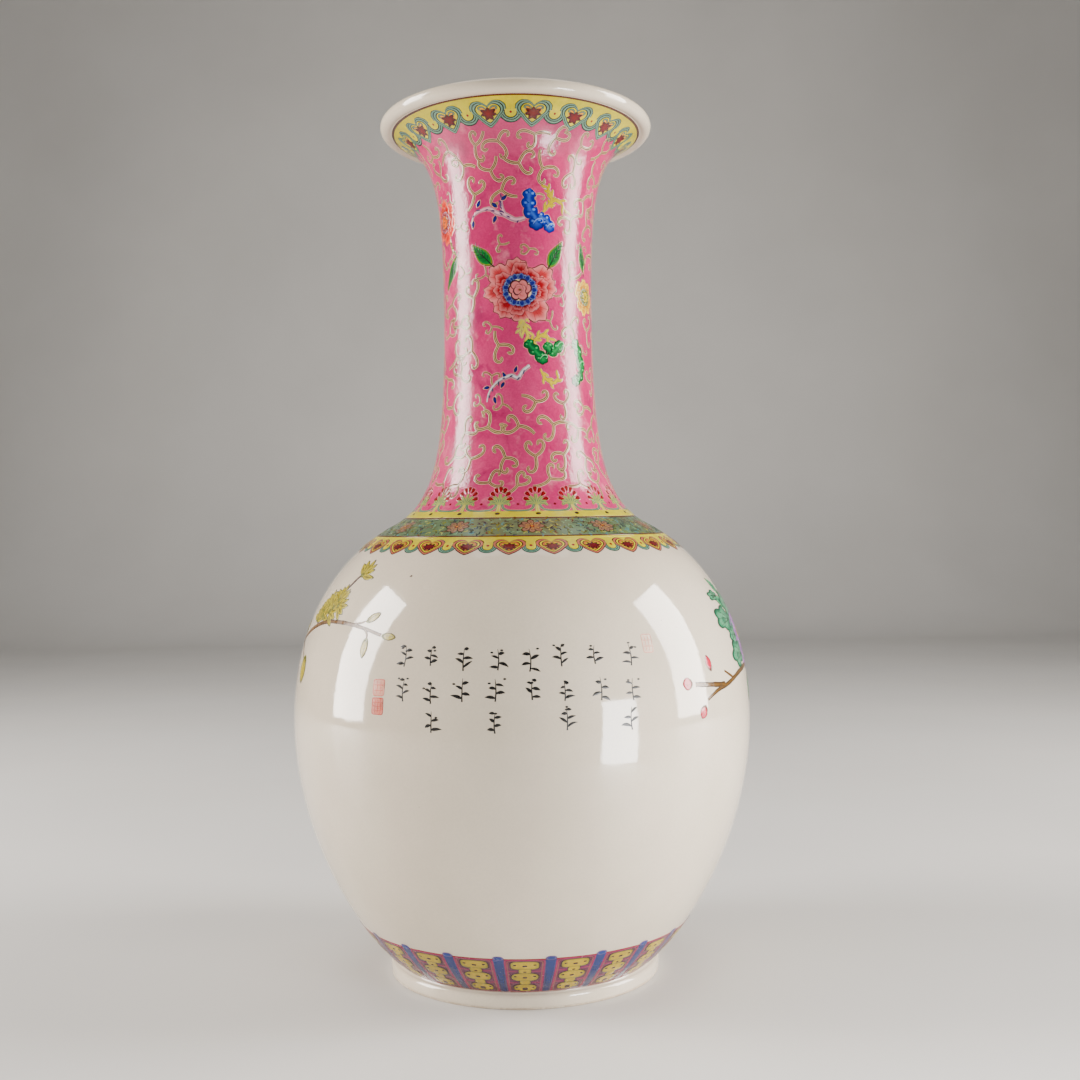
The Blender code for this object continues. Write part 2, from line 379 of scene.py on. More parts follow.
def mesh_object(name, places, faces):
    """An object in the scene from points and triangles."""
    mesh = bpy.data.meshes.new(name)
    mesh.vertices.add(len(places))
    mesh.vertices.foreach_set("co", np.asarray(places, np.float32).ravel())
    mesh.loops.add(len(faces) * 3)
    mesh.loops.foreach_set("vertex_index", np.asarray(faces, np.int32).ravel())
    mesh.polygons.add(len(faces))
    mesh.polygons.foreach_set("loop_start", np.arange(0, len(faces) * 3, 3, dtype=np.int32))
    mesh.update(calc_edges=True)
    mesh.shade_smooth()
    obj = bpy.data.objects.new(name, mesh)
    bpy.context.scene.collection.objects.link(obj)
    return obj


# ---- materials ----

class Nodes:
    """A small helper to write a node tree as nested calls."""

    def __init__(self, name):
        self.material = bpy.data.materials.new(name)
        self.material.use_nodes = True
        self.tree = self.material.node_tree
        self.shader = self.tree.nodes["Principled BSDF"]
        self.where = self.tree.nodes.new("ShaderNodeTexCoord").outputs["Object"]

    def link(self, value, socket):
        if hasattr(value, "is_output"):
            self.tree.links.new(value, socket)
        else:
            socket.default_value = value

    def feed(self, **sockets):
        """Gives the shader's sockets values; an underscore in a name stands for a space."""
        for name, value in sockets.items():
            self.link(value, self.shader.inputs[name.replace("_", " ")])

    def noise(self, scale, detail=3.0, roughness=0.55, distortion=0.0):
        node = self.tree.nodes.new("ShaderNodeTexNoise")
        for name, number in (
            ("Scale", scale), ("Detail", detail), ("Roughness", roughness), ("Distortion", distortion)
        ):
            node.inputs[name].default_value = number
        self.tree.links.new(self.where, node.inputs["Vector"])
        return node.outputs["Fac"]

    def cells(self, scale):
        node = self.tree.nodes.new("ShaderNodeTexVoronoi")
        node.inputs["Scale"].default_value = scale
        self.tree.links.new(self.where, node.inputs["Vector"])
        return node.outputs["Distance"]

    def spread(self, value, low, high, to_low=0.0, to_high=1.0):
        node = self.tree.nodes.new("ShaderNodeMapRange")
        self.link(value, node.inputs["Value"])
        for name, number in (("From Min", low), ("From Max", high), ("To Min", to_low), ("To Max", to_high)):
            node.inputs[name].default_value = number
        return node.outputs["Result"]

    def mix(self, share, a, b, blend="MIX"):
        node = self.tree.nodes.new("ShaderNodeMix")
        node.data_type = "RGBA"
        node.blend_type = blend
        self.link(share, node.inputs["Factor"])
        for value, socket in ((a, node.inputs[6]), (b, node.inputs[7])):
            self.link(value if hasattr(value, "is_output") else (*value, 1), socket)
        return node.outputs[2]

    def attribute(self, name):
        node = self.tree.nodes.new("ShaderNodeAttribute")
        node.attribute_name = name
        return node.outputs["Color"]

    def bump(self, height, distance, strength=1.0, below=None):
        node = self.tree.nodes.new("ShaderNodeBump")
        node.inputs["Strength"].default_value = strength
        node.inputs["Distance"].default_value = distance
        self.link(height, node.inputs["Height"])
        if below is not None:
            self.tree.links.new(below, node.inputs["Normal"])
        return node.outputs["Normal"]


def glaze_material():
    """White glaze with a faint cloudy tone, rare iron specks and a gently waving surface."""
    n = Nodes("white_glaze")
    cloud = n.spread(n.noise(14, 4, 0.6), 0.35, 0.68)
    tone = n.mix(cloud, (0.680, 0.590, 0.462), (0.600, 0.515, 0.400))
    fine = n.spread(n.noise(900, 2, 0.5), 0.3, 0.75, 0.0, 0.35)
    tone = n.mix(fine, tone, (0.55, 0.475, 0.37))
    speck = n.spread(n.cells(95), 0.018, 0.035, 0.55, 0.0)
    rare = n.spread(n.noise(60, 0), 0.66, 0.70)
    where = n.mix(rare, (0, 0, 0), n.mix(speck, (0, 0, 0), (1, 1, 1)))
    n.feed(Base_Color=n.mix(where, tone, (0.20, 0.13, 0.08)))
    n.feed(Roughness=n.spread(n.noise(35, 3), 0.3, 0.7, 0.045, 0.10))
    wide = n.bump(n.noise(48, 1, 0.4), 0.0006, 0.35)
    n.feed(Normal=n.bump(n.noise(420, 2, 0.5), 0.00005, 0.5, wide))
    n.feed(IOR=1.52, Coat_Weight=0.35, Coat_Roughness=0.03)
    return n.material


def bare_material():
    """Unglazed clay, gritty and a little stained."""
    n = Nodes("bare_foot_rim")
    grit = n.spread(n.noise(700, 3), 0.35, 0.7)
    tone = n.mix(n.spread(n.noise(45, 3), 0.35, 0.7), (0.62, 0.55, 0.44), (0.50, 0.38, 0.26))
    n.feed(Base_Color=n.mix(grit, tone, (0.40, 0.31, 0.22)), Roughness=0.75)
    n.feed(Normal=n.bump(n.noise(900, 4), 0.00015, 0.7))
    return n.material


def enamel_material(
    name, patch=25, patch_low=0.82, patch_high=1.12, grain=400, gloss=(0.10, 0.22), ripple=0.0003,
    ripple_scale=150
):
    """Coloured enamel read from the paint attribute. patch and grain set how its tone wanders."""
    n = Nodes(name)
    colour = n.attribute("paint")
    broad = n.spread(n.noise(patch, 5, 0.62, 0.4), 0.3, 0.7, patch_low, patch_high)
    tone = n.mix(1.0, colour, broad, "MULTIPLY")
    small = n.spread(n.noise(grain, 3, 0.6), 0.3, 0.72, 0.90, 1.08)
    n.feed(Base_Color=n.mix(1.0, tone, small, "MULTIPLY"))
    n.feed(Roughness=n.spread(n.noise(patch * 3, 2), 0.3, 0.7, *gloss))
    coarse = n.bump(n.noise(ripple_scale, 3, 0.5), ripple, 0.6)
    n.feed(Normal=n.bump(n.noise(ripple_scale * 6, 2, 0.5), ripple / 6, 0.5, coarse), IOR=1.56)
    return n.material


def matte_material(name, colour, other, scale, roughness):
    n = Nodes(name)
    n.feed(Base_Color=n.mix(n.spread(n.noise(scale, 3), 0.3, 0.7), colour, other), Roughness=roughness)
    return n.material


# ---- palette ----

OUTLINE = paint(58, 14, 24)
INK = paint(22, 20, 20)
CREAM = paint(240, 214, 170)
HALO = paint(238, 172, 160)
SAGE = paint(214, 196, 140)
YELLOW = paint(212, 200, 0)
PEACH = paint(240, 168, 60)
GREY_TEAL = paint(112, 146, 124)
DEEP_TEAL = paint(34, 66, 66)
OLIVE = paint(120, 124, 34)
PALE_ROSE = paint(248, 150, 150)
RED = paint(206, 26, 26)
CRIMSON = paint(150, 12, 34)
BROWN = paint(96, 50, 26)
NAVY = paint(24, 26, 110)
BLUE = paint(34, 84, 200)
PALE_BLUE = paint(168, 196, 232)
GREEN = paint(20, 140, 66)
DARK_GREEN = paint(10, 66, 36)
LEMON = paint(206, 200, 60)
MUSTARD = paint(190, 164, 10)
MAUVE = paint(170, 96, 96)
PLUM = paint(92, 28, 66)
ORANGE = paint(232, 120, 44)
MAGENTA = paint(214, 52, 120)
WHITE = paint(244, 240, 232)
LILAC = paint(160, 130, 200)

# Heights of the painted bands, in millimetres up the wall.
RIM_LINE = (497.0, 498.4)
RIM_YELLOW = (486.0, 497.2)
RIM_HEARTS = 486.6
NECK_GROUND = (279.6, 486.4)
PALMETTES = 279.2
COLLAR_YELLOW = (274.7, 279.8)
COLLAR_LINES = ((273.3, 274.6), (255.9, 257.0))
BROCADE = (256.6, 273.6)
HEART_GROUND = (249.8, 256.0)
SHOULDER_HEARTS = 248.0
FOOT_BORDER = (0.9, 30.6)

# How many times each motif goes round, and the angle of its first one.
RIM_COUNT, RIM_TURN = 16, 8.9
HEART_COUNT, HEART_TURN = 26, -3.6
PALMETTE_COUNT, PALMETTE_TURN = 19, 8.4
PANEL_COUNT, PANEL_TURN = 22, -0.25


# ---- the glazed body ----

def inner_wall():
    """The inner surface from under the lip down to the floor, and in to the axis."""
    inside = (WALL - OUTWARD * THICKNESS[:, None])[::-4]
    kept = inside[inside[:, 1] > FLOOR_TOP + FLOOR_FILLET]
    corner = kept[-1] - np.array([FLOOR_FILLET, 0])
    turn = np.linspace(math.pi / 2, 0, 9)[1:]
    fillet = np.stack(
        [corner[0] + np.sin(turn) * FLOOR_FILLET, FLOOR_TOP + (1 - np.cos(turn)) * (corner[1] - FLOOR_TOP)], 1
    )
    floor = np.stack([np.linspace(fillet[-1, 0], 0, 7)[1:], np.full(6, FLOOR_TOP)], 1)
    return np.concatenate([kept, fillet, floor])


def bead():
    """The rolled lip, from the outer wall over to the inner one."""
    start = WALL[-1]
    centre = start - heading(BEAD_START) * BEAD_RADIUS
    inside = start - OUTWARD[-1] * THICKNESS[-1] - centre
    end = math.atan2(inside[1], inside[0])
    turns = np.linspace(BEAD_START, end, 18)[1:-1]
    return centre + np.stack([np.cos(turns), np.sin(turns)], 1) * BEAD_RADIUS


def foot_ring():
    """The foot under the heel, from the axis of the recess out to the heel."""
    inside = FOOT_RADIUS - RIM_WIDTH
    recess = np.stack([np.linspace(0, inside - 3.5, 6), np.full(6, RECESS_DEPTH)], 1)
    return np.concatenate([
        recess,
        [
            [inside - 1.9, RECESS_DEPTH - 0.6], [inside - 1.1, RECESS_DEPTH - 2.6],
            [inside - 0.2, BARE_HEIGHT + 1.2]
        ],
        [[inside, BARE_HEIGHT + 0.2], [inside + 0.4, BARE_HEIGHT]],
        [
            [FOOT_RADIUS - 0.5, BARE_HEIGHT], [FOOT_RADIUS - 0.1, BARE_HEIGHT + 0.15],
            [FOOT_RADIUS, BARE_HEIGHT + 0.6]
        ],
        [
            [FOOT_RADIUS, FOOT_HEIGHT - 2.4], [FOOT_RADIUS - 0.3, FOOT_HEIGHT - 1.2],
            [FOOT_RADIUS - 1.3, FOOT_HEIGHT - 0.5]
        ],
    ])


def lathe(name, profile, segments, material):
    """A turned object from a profile that runs with the solid on its left. It closes at the axis."""
    profile = np.asarray(profile, float)
    on_axis = profile[:, 0] < 1e-6
    rings = profile[~on_axis]
    turns = np.linspace(0, 2 * math.pi, segments, endpoint=False)
    places = np.stack([
        rings[:, :1] * np.sin(turns), -rings[:, :1] * np.cos(turns), np.repeat(rings[:, 1:], segments, 1)
    ], -1).reshape(-1, 3)
    faces = [grid_faces(len(rings), segments, closed=True)]
    ring = np.arange(segments)
    after = (ring + 1) % segments
    if on_axis[0]:
        faces.append(np.stack([np.full(segments, len(places)), after, ring], 1))
        places = np.concatenate([places, [[0, 0, profile[0, 1]]]])
    if on_axis[-1]:
        last = (len(rings) - 1) * segments
        faces.append(np.stack([np.full(segments, len(places)), last + ring, last + after], 1))
        places = np.concatenate([places, [[0, 0, profile[-1, 1]]]])
    if not on_axis.any():
        last = (len(rings) - 1) * segments
        faces.append(np.concatenate([
            np.stack([last + ring, last + after, after], 1), np.stack([last + ring, after, ring], 1)
        ]))
    obj = mesh_object(name, places * MM, np.concatenate(faces))
    obj.data.materials.append(material)
    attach(obj, BODY)
    return obj


def glazed_body():
    """The whole vase inside and out in one glazed skin, which stands for every thrown section and seam."""
    wall = WALL[::5] if (len(WALL) - 1) % 5 == 0 else np.concatenate([WALL[::5], WALL[-1:]])
    profile = np.concatenate([foot_ring(), wall, bead(), inner_wall()])
    body = lathe("porcelain_body", profile, SEGMENTS, glaze_material())
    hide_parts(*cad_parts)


def bare_rim():
    """The unglazed ring that the vase stands on."""
    inside, outside = FOOT_RADIUS - RIM_WIDTH + 0.15, FOOT_RADIUS - 0.15
    top = BARE_HEIGHT + 0.4
    profile = [
        [inside, top], [inside, 0.45], [inside + 0.15, 0.12], [inside + 0.6, 0],
        [outside - 0.6, 0], [outside - 0.15, 0.12], [outside, 0.45], [outside, top],
    ]
    lathe("bare_foot_rim", profile, 192, bare_material())


# ---- motifs of the borders ----

def ruyi_outline(width, height):
    """A cloud-shaped heart with its point down: two lobes curl in at the top."""
    half = [
        (0.0, 0.30), (0.07, 0.40), (0.20, 0.50), (0.36, 0.48), (0.48, 0.33), (0.50, 0.14), (0.43, -0.02),
        (0.36, -0.09), (0.30, -0.20), (0.17, -0.36), (0.06, -0.46),
    ]
    points = half + [(0.0, -0.5)] + [(-x, y) for x, y in half[:0:-1]]
    return smooth_path(points, 72, closed=True)[::-1] * np.array([width, height])


def flame(width, height, teeth=7, count=42):
    """A ragged tuft: pointed all round, longest at the sides."""
    turn = np.linspace(0, 2 * math.pi, count, endpoint=False) + math.pi / 2
    wave = np.abs((teeth * (turn - math.pi / 2) / (2 * math.pi)) % 1 - 0.5) * 2
    reach = (0.64 + 0.36 * wave) * (1 + 0.07 * np.sin(3 * turn))
    return np.stack([np.cos(turn) * reach * width / 2, np.sin(turn) * reach * height / 2], 1)


def banded(*bands):
    """A disc's stops for flat bands of colour: (share of the reach at its outer edge, colour) for each."""
    stops = []
    for (share, colour), (inner, _) in zip(bands, bands[1:] + ((0.0, None),)):
        stops.append((share, colour))
        if inner > 0:
            stops.append((inner + 0.012, colour))
    stops.append((0, bands[-1][1]))
    return [(s, c, 0.055 + 0.03 * (1 - s) if s < 1 else -0.02) for s, c in stops[::-1]]


def rim_heart():
    """The ruyi heart of the rim: dark double lines, a yellow heart in it, two curls and a red tuft."""
    d = Drawing()
    line = DEEP_TEAL * 0.3
    d.disc(ruyi_outline(18.8, 16.0), banded(
        (1.0, line), (0.935, GREY_TEAL), (0.85, line), (0.79, GREY_TEAL * 1.1), (0.70, line), (0.63, YELLOW),
        (0.46, PEACH),
    ), centre=(0, 0.6), base=0.06)
    for side in (-1, 1):
        curl = curl_path((side * 1.0, 2.4), 90 - side * 28, 6.4, -side * 90, -side * 240, 16)
        d.ribbon(curl, tapered(16, 0.3, 0.55, 0.42), [
            (0, GREY_TEAL, 0.05), (0.3, GREY_TEAL, 0.05), (0.5, DEEP_TEAL * 0.6, 0.04),
            (1, DEEP_TEAL * 0.6, -0.01),
        ], 0.16)
    tuft = [(0, RED * 0.3, 0.07), (0.55, CRIMSON * 0.4, 0.06), (1, OUTLINE * 0.7, -0.01)]
    return d.disc(flame(9.4, 8.0), tuft, (0, 0), 0.17)


def pendant(rings, width, drop, sag, top, base, count):
    """The scallop that hangs between two hearts, as nested strings: (share of its reach, colour) for each."""
    d = Drawing()
    turn = np.linspace(math.pi, 2 * math.pi, count)
    for reach, colour in rings:
        arc = np.stack([np.cos(turn) * width * reach, np.sin(turn) * drop * reach + sag], 1)
        arc = np.concatenate([arc, [[width * reach, top], [-width * reach, top]]])
        flat_fill = [(0, colour, 0.03), (0.97, colour, 0.03), (1, colour, 0.0)]
        d.disc(arc, flat_fill, base=base + (1 - reach) * 0.08, centre=(0, 0.8))
    return d


def rim_pendant():
    line = DEEP_TEAL * 0.3
    rings = ((1.0, line), (0.89, GREY_TEAL), (0.77, line), (0.68, GREY_TEAL), (0.57, line), (0.47, YELLOW))
    dot = [(0, CRIMSON, 0.06), (0.7, CRIMSON * 0.7, 0.05), (1, OLIVE, 0)]
    return pendant(rings, 6.3, 6.0, 0.3, 2.2, 0.05, 22).disc(oval(1.5, 1.7), dot, (0, 0.4), 0.10)


def palmette():
    """A curled fan with red drops on top, on a stem from a dark seed in the yellow stripe."""
    d = Drawing()
    d.disc(
        oval(2.6, 2.0), [(0, BROWN * 0.5, 0.08), (0.7, OUTLINE * 0.6, 0.06), (1, OLIVE, -0.02)],
        (0, -1.6), 0.14
    )
    strand = [
        (0, LEMON, 0.09), (0.30, GREY_TEAL, 0.08), (0.46, OLIVE * 0.4, 0.06), (0.66, GREY_TEAL, 0.05),
        (0.9, LEMON, 0.04), (1, LEMON, -0.02)
    ]
    stem = smooth_path([(0, 0.2), (0, 3.0), (0, 7.8)], 10)
    d.ribbon(
        stem, np.linspace(2.0, 0.9, 10),
        [(0, LEMON, 0.06), (0.5, SAGE, 0.06), (0.62, OLIVE, 0.05), (1, HALO, -0.02)], 0.05
    )
    for k in (-3, 3, -2, 2, -1, 1, 0):
        path = curl_path((k * 0.2, 5.2), 90 - k * 19, 6.9 - abs(k) * 0.35, -k * 14, -k * 46, 13)
        d.ribbon(path, tapered(13, 0.7, 1.0, 0.85), strand, 0.07 + 0.01 * (3 - abs(k)))
    for spread in np.linspace(-82, 82, 7):
        turn = math.radians(spread)
        drop = smooth_path([
            (0, -2.3), (1.1, -0.5), (1.35, 1.0), (0.5, 2.1), (0, 1.5), (-0.5, 2.1), (-1.35, 1.0),
            (-1.1, -0.5)
        ], 22, True)
        one = Drawing().disc(drop, [
            (0, CRIMSON, 0.11), (0.66, CRIMSON * 0.6, 0.10), (0.84, OUTLINE, 0.06),
            (0.9, PALE_ROSE, 0.04), (1, PALE_ROSE, -0.02)
        ])
        d.placed(one, (5.3 * math.sin(turn), 8.0 + 6.9 * math.cos(turn)), turn=-spread * 0.85, base=0.09)
    return d


def palmette_swag():
    """The line that dips between two palmettes, and the dark dot over it."""
    d = Drawing()
    path = smooth_path(
        [(-8.2, 6.4), (-7.6, 3.2), (-5.2, 1.2), (0, 0.6), (5.2, 1.2), (7.6, 3.2), (8.2, 6.4)], 40
    )
    d.ribbon(path, rounded(40, 1.0), [
        (0, GREY_TEAL, 0.06), (0.3, GREY_TEAL, 0.06), (0.42, OLIVE * 0.35, 0.06),
        (0.62, OLIVE * 0.35, 0.05), (0.72, CREAM, 0.05), (1, HALO, -0.02),
    ], 0.05)
    d.disc(
        oval(1.9, 1.9), [(0, OUTLINE, 0.08), (0.6, CRIMSON * 0.7, 0.06), (1, CRIMSON, -0.02)], (0, 5.6),
        0.05
    )
    return d


def collar_heart():
    """The heart of the collar: a rosy and a yellow band round an orange field, and a red tuft."""
    line = OUTLINE * 0.7
    d = Drawing().disc(ruyi_outline(16.6, 11.4), banded(
        (1.0, OUTLINE), (0.92, paint(176, 104, 84)), (0.78, line), (0.71, YELLOW), (0.61, line),
        (0.54, paint(196, 116, 66)), (0.42, YELLOW * 0.8),
    ), centre=(0, 0.6), base=0.07)
    return d.disc(
        flame(8.4, 5.6, 9, 54),
        [(0, CRIMSON * 0.45, 0.07), (0.6, CRIMSON * 0.35, 0.06), (1, line, -0.01)], (0, 0.2), 0.17
    )


def collar_pendant():
    rings = (
        (1.0, DEEP_TEAL * 0.8), (0.90, GREY_TEAL * 1.2), (0.79, DEEP_TEAL * 0.8), (0.71, GREY_TEAL),
        (0.60, DEEP_TEAL * 0.6), (0.51, YELLOW),
    )
    dot = [(0, OUTLINE, 0.06), (0.6, CRIMSON, 0.05), (1, CRIMSON, 0)]
    return pendant(rings, 4.6, 4.4, 0.0, 3.4, 0.04, 20).disc(oval(1.8, 1.8), dot, (0, 0.9), 0.09)


def rim_border():
    """The yellow border under the lip."""
    p = Piece()
    p.band(*RIM_YELLOW, YELLOW, 0.06)
    p.band(*RIM_LINE, BROWN * 0.8, 0.09, edge=0.25)
    p.ring_of(rim_pendant(), RIM_COUNT, RIM_TURN + 180 / RIM_COUNT, RIM_HEARTS)
    p.ring_of(rim_heart(), RIM_COUNT, RIM_TURN, RIM_HEARTS)
    material = enamel_material("rim_enamel", 60, 0.80, 1.12, 500, (0.12, 0.25), 0.0002, 220)
    p.finish("rim_border", material, ENAMEL)


def collar_border():
    """The bands of the collar, with palmettes over them and hearts under them."""
    p = Piece()
    p.band(*COLLAR_YELLOW, YELLOW, 0.10)
    p.band(*BROCADE, paint(98, 118, 88), 0.07)
    p.band(*HEART_GROUND, YELLOW, 0.06)
    for low, high in COLLAR_LINES:
        p.band(low, high, BROWN * 0.75, 0.14, edge=0.25)
    p.band(254.3, 255.9, YELLOW, 0.12, edge=0.3)
    p.ring_of(collar_pendant(), HEART_COUNT, HEART_TURN + 180 / HEART_COUNT, SHOULDER_HEARTS)
    p.ring_of(collar_heart(), HEART_COUNT, HEART_TURN, SHOULDER_HEARTS)
    p.ring_of(palmette_swag(), PALMETTE_COUNT, PALMETTE_TURN + 180 / PALMETTE_COUNT, PALMETTES)
    p.ring_of(palmette(), PALMETTE_COUNT, PALMETTE_TURN, PALMETTES)
    material = enamel_material("collar_enamel", 60, 0.80, 1.12, 500, (0.12, 0.25), 0.0002, 220)
    p.finish("collar_border", material, ENAMEL)


def brocade_diaper():
    """The close-set curls and rosettes over the grey-green band of the collar."""
    rng = random.Random(4)
    p = Piece()
    inks = (
        DEEP_TEAL * 0.5, paint(40, 70, 80), OLIVE * 0.4, paint(120, 158, 120), paint(160, 164, 92),
        paint(84, 140, 140), OLIVE, DEEP_TEAL * 0.7, BROWN, OLIVE * 0.5, DEEP_TEAL * 0.5,
    )
    low, high = BROCADE
    rows = 7
    for row in range(rows):
        along = low + 1.7 + (high - low - 3.2) * row / (rows - 1)
        count = int(2 * math.pi * radius_at(along) / 2.7)
        for k in range(count):
            turn = 360 * (k + 0.5 * (row % 2) + rng.uniform(-0.25, 0.25)) / count
            d = Drawing()
            ink = inks[rng.randrange(len(inks))]
            side = rng.choice((-1, 1))
            path = curl_path((-1.2, 0), rng.uniform(0, 360), rng.uniform(2.8, 4.4), side * 60, side * 260, 8)
            d.ribbon(
                path, tapered(8, 0.26, 0.40, 0.2), [(0, ink, 0.06), (0.6, ink, 0.05), (1, ink, -0.01)],
                0.08
            )
            p.lay(d, turn, along + rng.uniform(-0.5, 0.5))
    for k in range(12):
        d = Drawing()
        rings = ((8, 6.9, paint(146, 112, 90)), (6, 4.4, paint(170, 130, 84)))
        for ring, (count, reach, colour) in enumerate(rings):
            for petal in range(count):
                turn = 360 / count * (petal + 0.5 * ring) + rng.uniform(-6, 6)
                long = reach * rng.uniform(0.88, 1.05)
                wide = reach * 0.24
                leaf = smooth_path([(0.4, 0), (long * 0.5, wide), (long * 0.85, wide * 0.9), (long, 0),
                                    (long * 0.85, -wide * 0.9), (long * 0.5, -wide)], 18, True)
                one = Drawing().disc(leaf, [
                    (0, OUTLINE, 0.08), (0.30, colour * 0.8, 0.08), (0.66, colour, 0.07),
                    (0.76, OUTLINE * 0.8, 0.05), (1, OLIVE * 0.4, -0.01),
                ], centre=(long * 0.55, 0))
                d.placed(one, turn=turn, base=0.10 + 0.04 * ring)
        d.disc(oval(2.4, 2.2), [(0, YELLOW, 0.10), (0.6, CRIMSON, 0.09), (1, OUTLINE, 0.02)], base=0.20)
        p.lay(d, 4.5 + 30 * k, (low + high) / 2)
    material = enamel_material("brocade_enamel", 80, 0.85, 1.12, 500, (0.14, 0.28))
    p.finish("collar_brocade", material, ENAMEL)


# ---- the neck: scrolls, flowers and branches ----

def scroll(rng):
    """A forked tendril with hooked ends: a greyed core, two dark lines and a pale margin."""
    d = Drawing()
    facing = rng.uniform(0, 360)
    turning = rng.choice((-1, 1))
    arms = []
    for k, spread in enumerate((0, rng.uniform(100, 135), rng.uniform(225, 260))):
        side = turning if k != 1 else -turning
        length = rng.uniform(10.5, 14.5)
        if k == 0 and rng.random() < 0.45:
            arms.append(curl_path((0, 0), facing + spread, length * 0.75, side * 50, 0, 12))
        else:
            arms.append(curl_path(
                (0, 0), facing + spread, length, side * rng.uniform(10, 60), side * 265, 19
            ))
    core = mixed(SAGE, MAUVE, rng.uniform(0.2, 0.7))
    for path in arms:
        d.ribbon(path, tapered(len(path), 0.84, 0.92, 0.74), [
            (0, core, 0.08), (0.20, core, 0.08), (0.27, OUTLINE * 0.5, 0.07), (0.66, OUTLINE * 0.5, 0.06),
            (0.73, CREAM, 0.05),
            (0.90, CREAM, 0.04), (1, HALO, -0.02),
        ], 0.05)
    return d


def petal_outline(length, width, teeth, rng):
    """A ragged petal pointing along +x from its base."""
    share = np.linspace(0, 1, 26)
    angle = (share - 0.5) * math.pi * 1.15
    wave = np.abs((share * teeth) % 1 - 0.5) * 2
    reach = length * (0.80 + 0.22 * wave + 0.04 * rng.uniform(-1, 1))
    outer = np.stack([
        0.25 * length + np.cos(angle) * reach * 0.75, np.sin(angle) * width * 0.62 * (0.9 + 0.12 * wave)
    ], 1)
    return np.concatenate([[[0, 0.0]], outer])


def ragged_petal(length, width, teeth, inner, edge, rng):
    """That petal in colour, dark at its root and pale at its edge, with fine streaks."""
    d = Drawing().disc(petal_outline(length, width, teeth, rng), [
        (0, inner * 0.7, 0.08), (0.35, inner, 0.12), (0.64, mixed(inner, edge, 0.6), 0.12),
        (0.87, edge, 0.09),
        (0.90, OUTLINE, 0.07), (0.955, OUTLINE, 0.05), (0.965, edge, 0.03), (1, edge, -0.02),
    ], centre=(length * 0.42, 0))
    for spread in np.linspace(-0.5, 0.5, 4):
        path = np.stack(
            [np.linspace(length * 0.12, length * 0.72, 7), np.linspace(0, spread * width * 0.7, 7)], 1
        )
        d.ribbon(path, tapered(7, 0.12, 0.24, 0.06), [(0, inner * 0.55, 0.02), (1, inner, -0.01)], 0.12)
    return d


def lotus(rng, width=39.0, warm=paint(176, 18, 42), edge=PALE_ROSE * 0.86, ring=NAVY, heart=PALE_ROSE * 0.86):
    """The big stylised bloom: loose ragged petals round a dark scalloped ring and an open heart."""
    d = Drawing()
    reach = width / 2
    rows = (
        (8, 0.42, 0.62, 0.58, mixed(warm, edge, 0.12)), (9, 0.30, 0.50, 0.46, warm * 0.75),
        (10, 0.30, 0.30, 0.26, warm * 0.4),
    )
    for row, (count, out, long, wide, inner) in enumerate(rows):
        for k in range(count):
            turn = 360 / count * (k + 0.5 * row) + rng.uniform(-11, 11)
            length, half = reach * long * rng.uniform(0.84, 1.12), reach * wide * rng.uniform(0.86, 1.14)
            one = ragged_petal(length, half, rng.choice((3, 4, 5)), inner, mixed(edge, warm, 0.25 * row), rng)
            at = around(turn, reach * out, reach * out * 0.9)
            d.placed(one, at, turn + rng.uniform(-8, 8), base=0.04 + 0.06 * row)
    cup = reach * 0.47
    pale = mixed(PALE_BLUE, ring, 0.45)
    rim = [(0, ring, 0.10), (0.84, ring, 0.10), (0.90, pale, 0.08), (1, ring, -0.01)]
    d.disc(oval(cup * 2, cup * 1.86, 60, 0.07, 13), rim, base=0.24)
    scale = smooth_path([(-0.6, -1.3), (1.5, -1.25), (2.6, -0.2), (1.7, 1.2), (-0.6, 1.3)], 18, True)
    one = Drawing().disc(scale, [
        (0, ring, 0.08), (0.66, ring * 1.1, 0.08), (0.76, pale, 0.07), (0.88, ring, 0.05),
        (1, ring * 0.6, -0.01),
    ], centre=(0.9, 0))
    for k in range(13):
        turn = 360 / 13 * k + rng.uniform(-3, 3)
        d.placed(one, around(turn, cup * 0.72, cup * 0.67), turn, size=cup / 8.6, base=0.32)
    d.disc(oval(cup * 1.34, cup * 1.26, 44, 0.07, 8), [
        (0, warm * 0.7, 0.06), (0.8, mixed(warm, heart, 0.4), 0.06), (0.86, CREAM, 0.06), (0.93, CREAM, 0.05),
        (1, ring, -0.01),
    ], base=0.38)
    petal = smooth_path([
        (-2.6, -0.4), (-1.8, 1.6), (0.4, 2.4), (2.0, 1.9), (2.5, 0.5), (2.2, -1.0), (0.7, -2.2), (-1.6, -1.8),
    ], 26, True)
    one = Drawing().disc(petal, [
        (0, warm * 0.6, 0.07), (0.3, mixed(warm, heart, 0.6), 0.07), (0.76, heart * 0.9, 0.07),
        (0.84, OUTLINE, 0.05), (1, OUTLINE, -0.01),
    ], centre=(-1.3, 0))
    for row, (count, out, size) in enumerate(((6, 0.38, 1.12), (4, 0.15, 0.95))):
        for k in range(count):
            turn = 360 / count * k + 25 * row + rng.uniform(-12, 12)
            at = around(turn, cup * out, cup * out * 0.94)
            base = 0.44 + 0.03 * (k % 3) + 0.06 * row
            d.placed(one, at, turn + rng.uniform(-25, 25), size=size * cup / 9.2, base=base)
    return d.disc(oval(1.6, 1.3), [(0, MUSTARD, 0.08), (0.5, OUTLINE, 0.06), (1, OUTLINE, -0.01)], base=0.62)


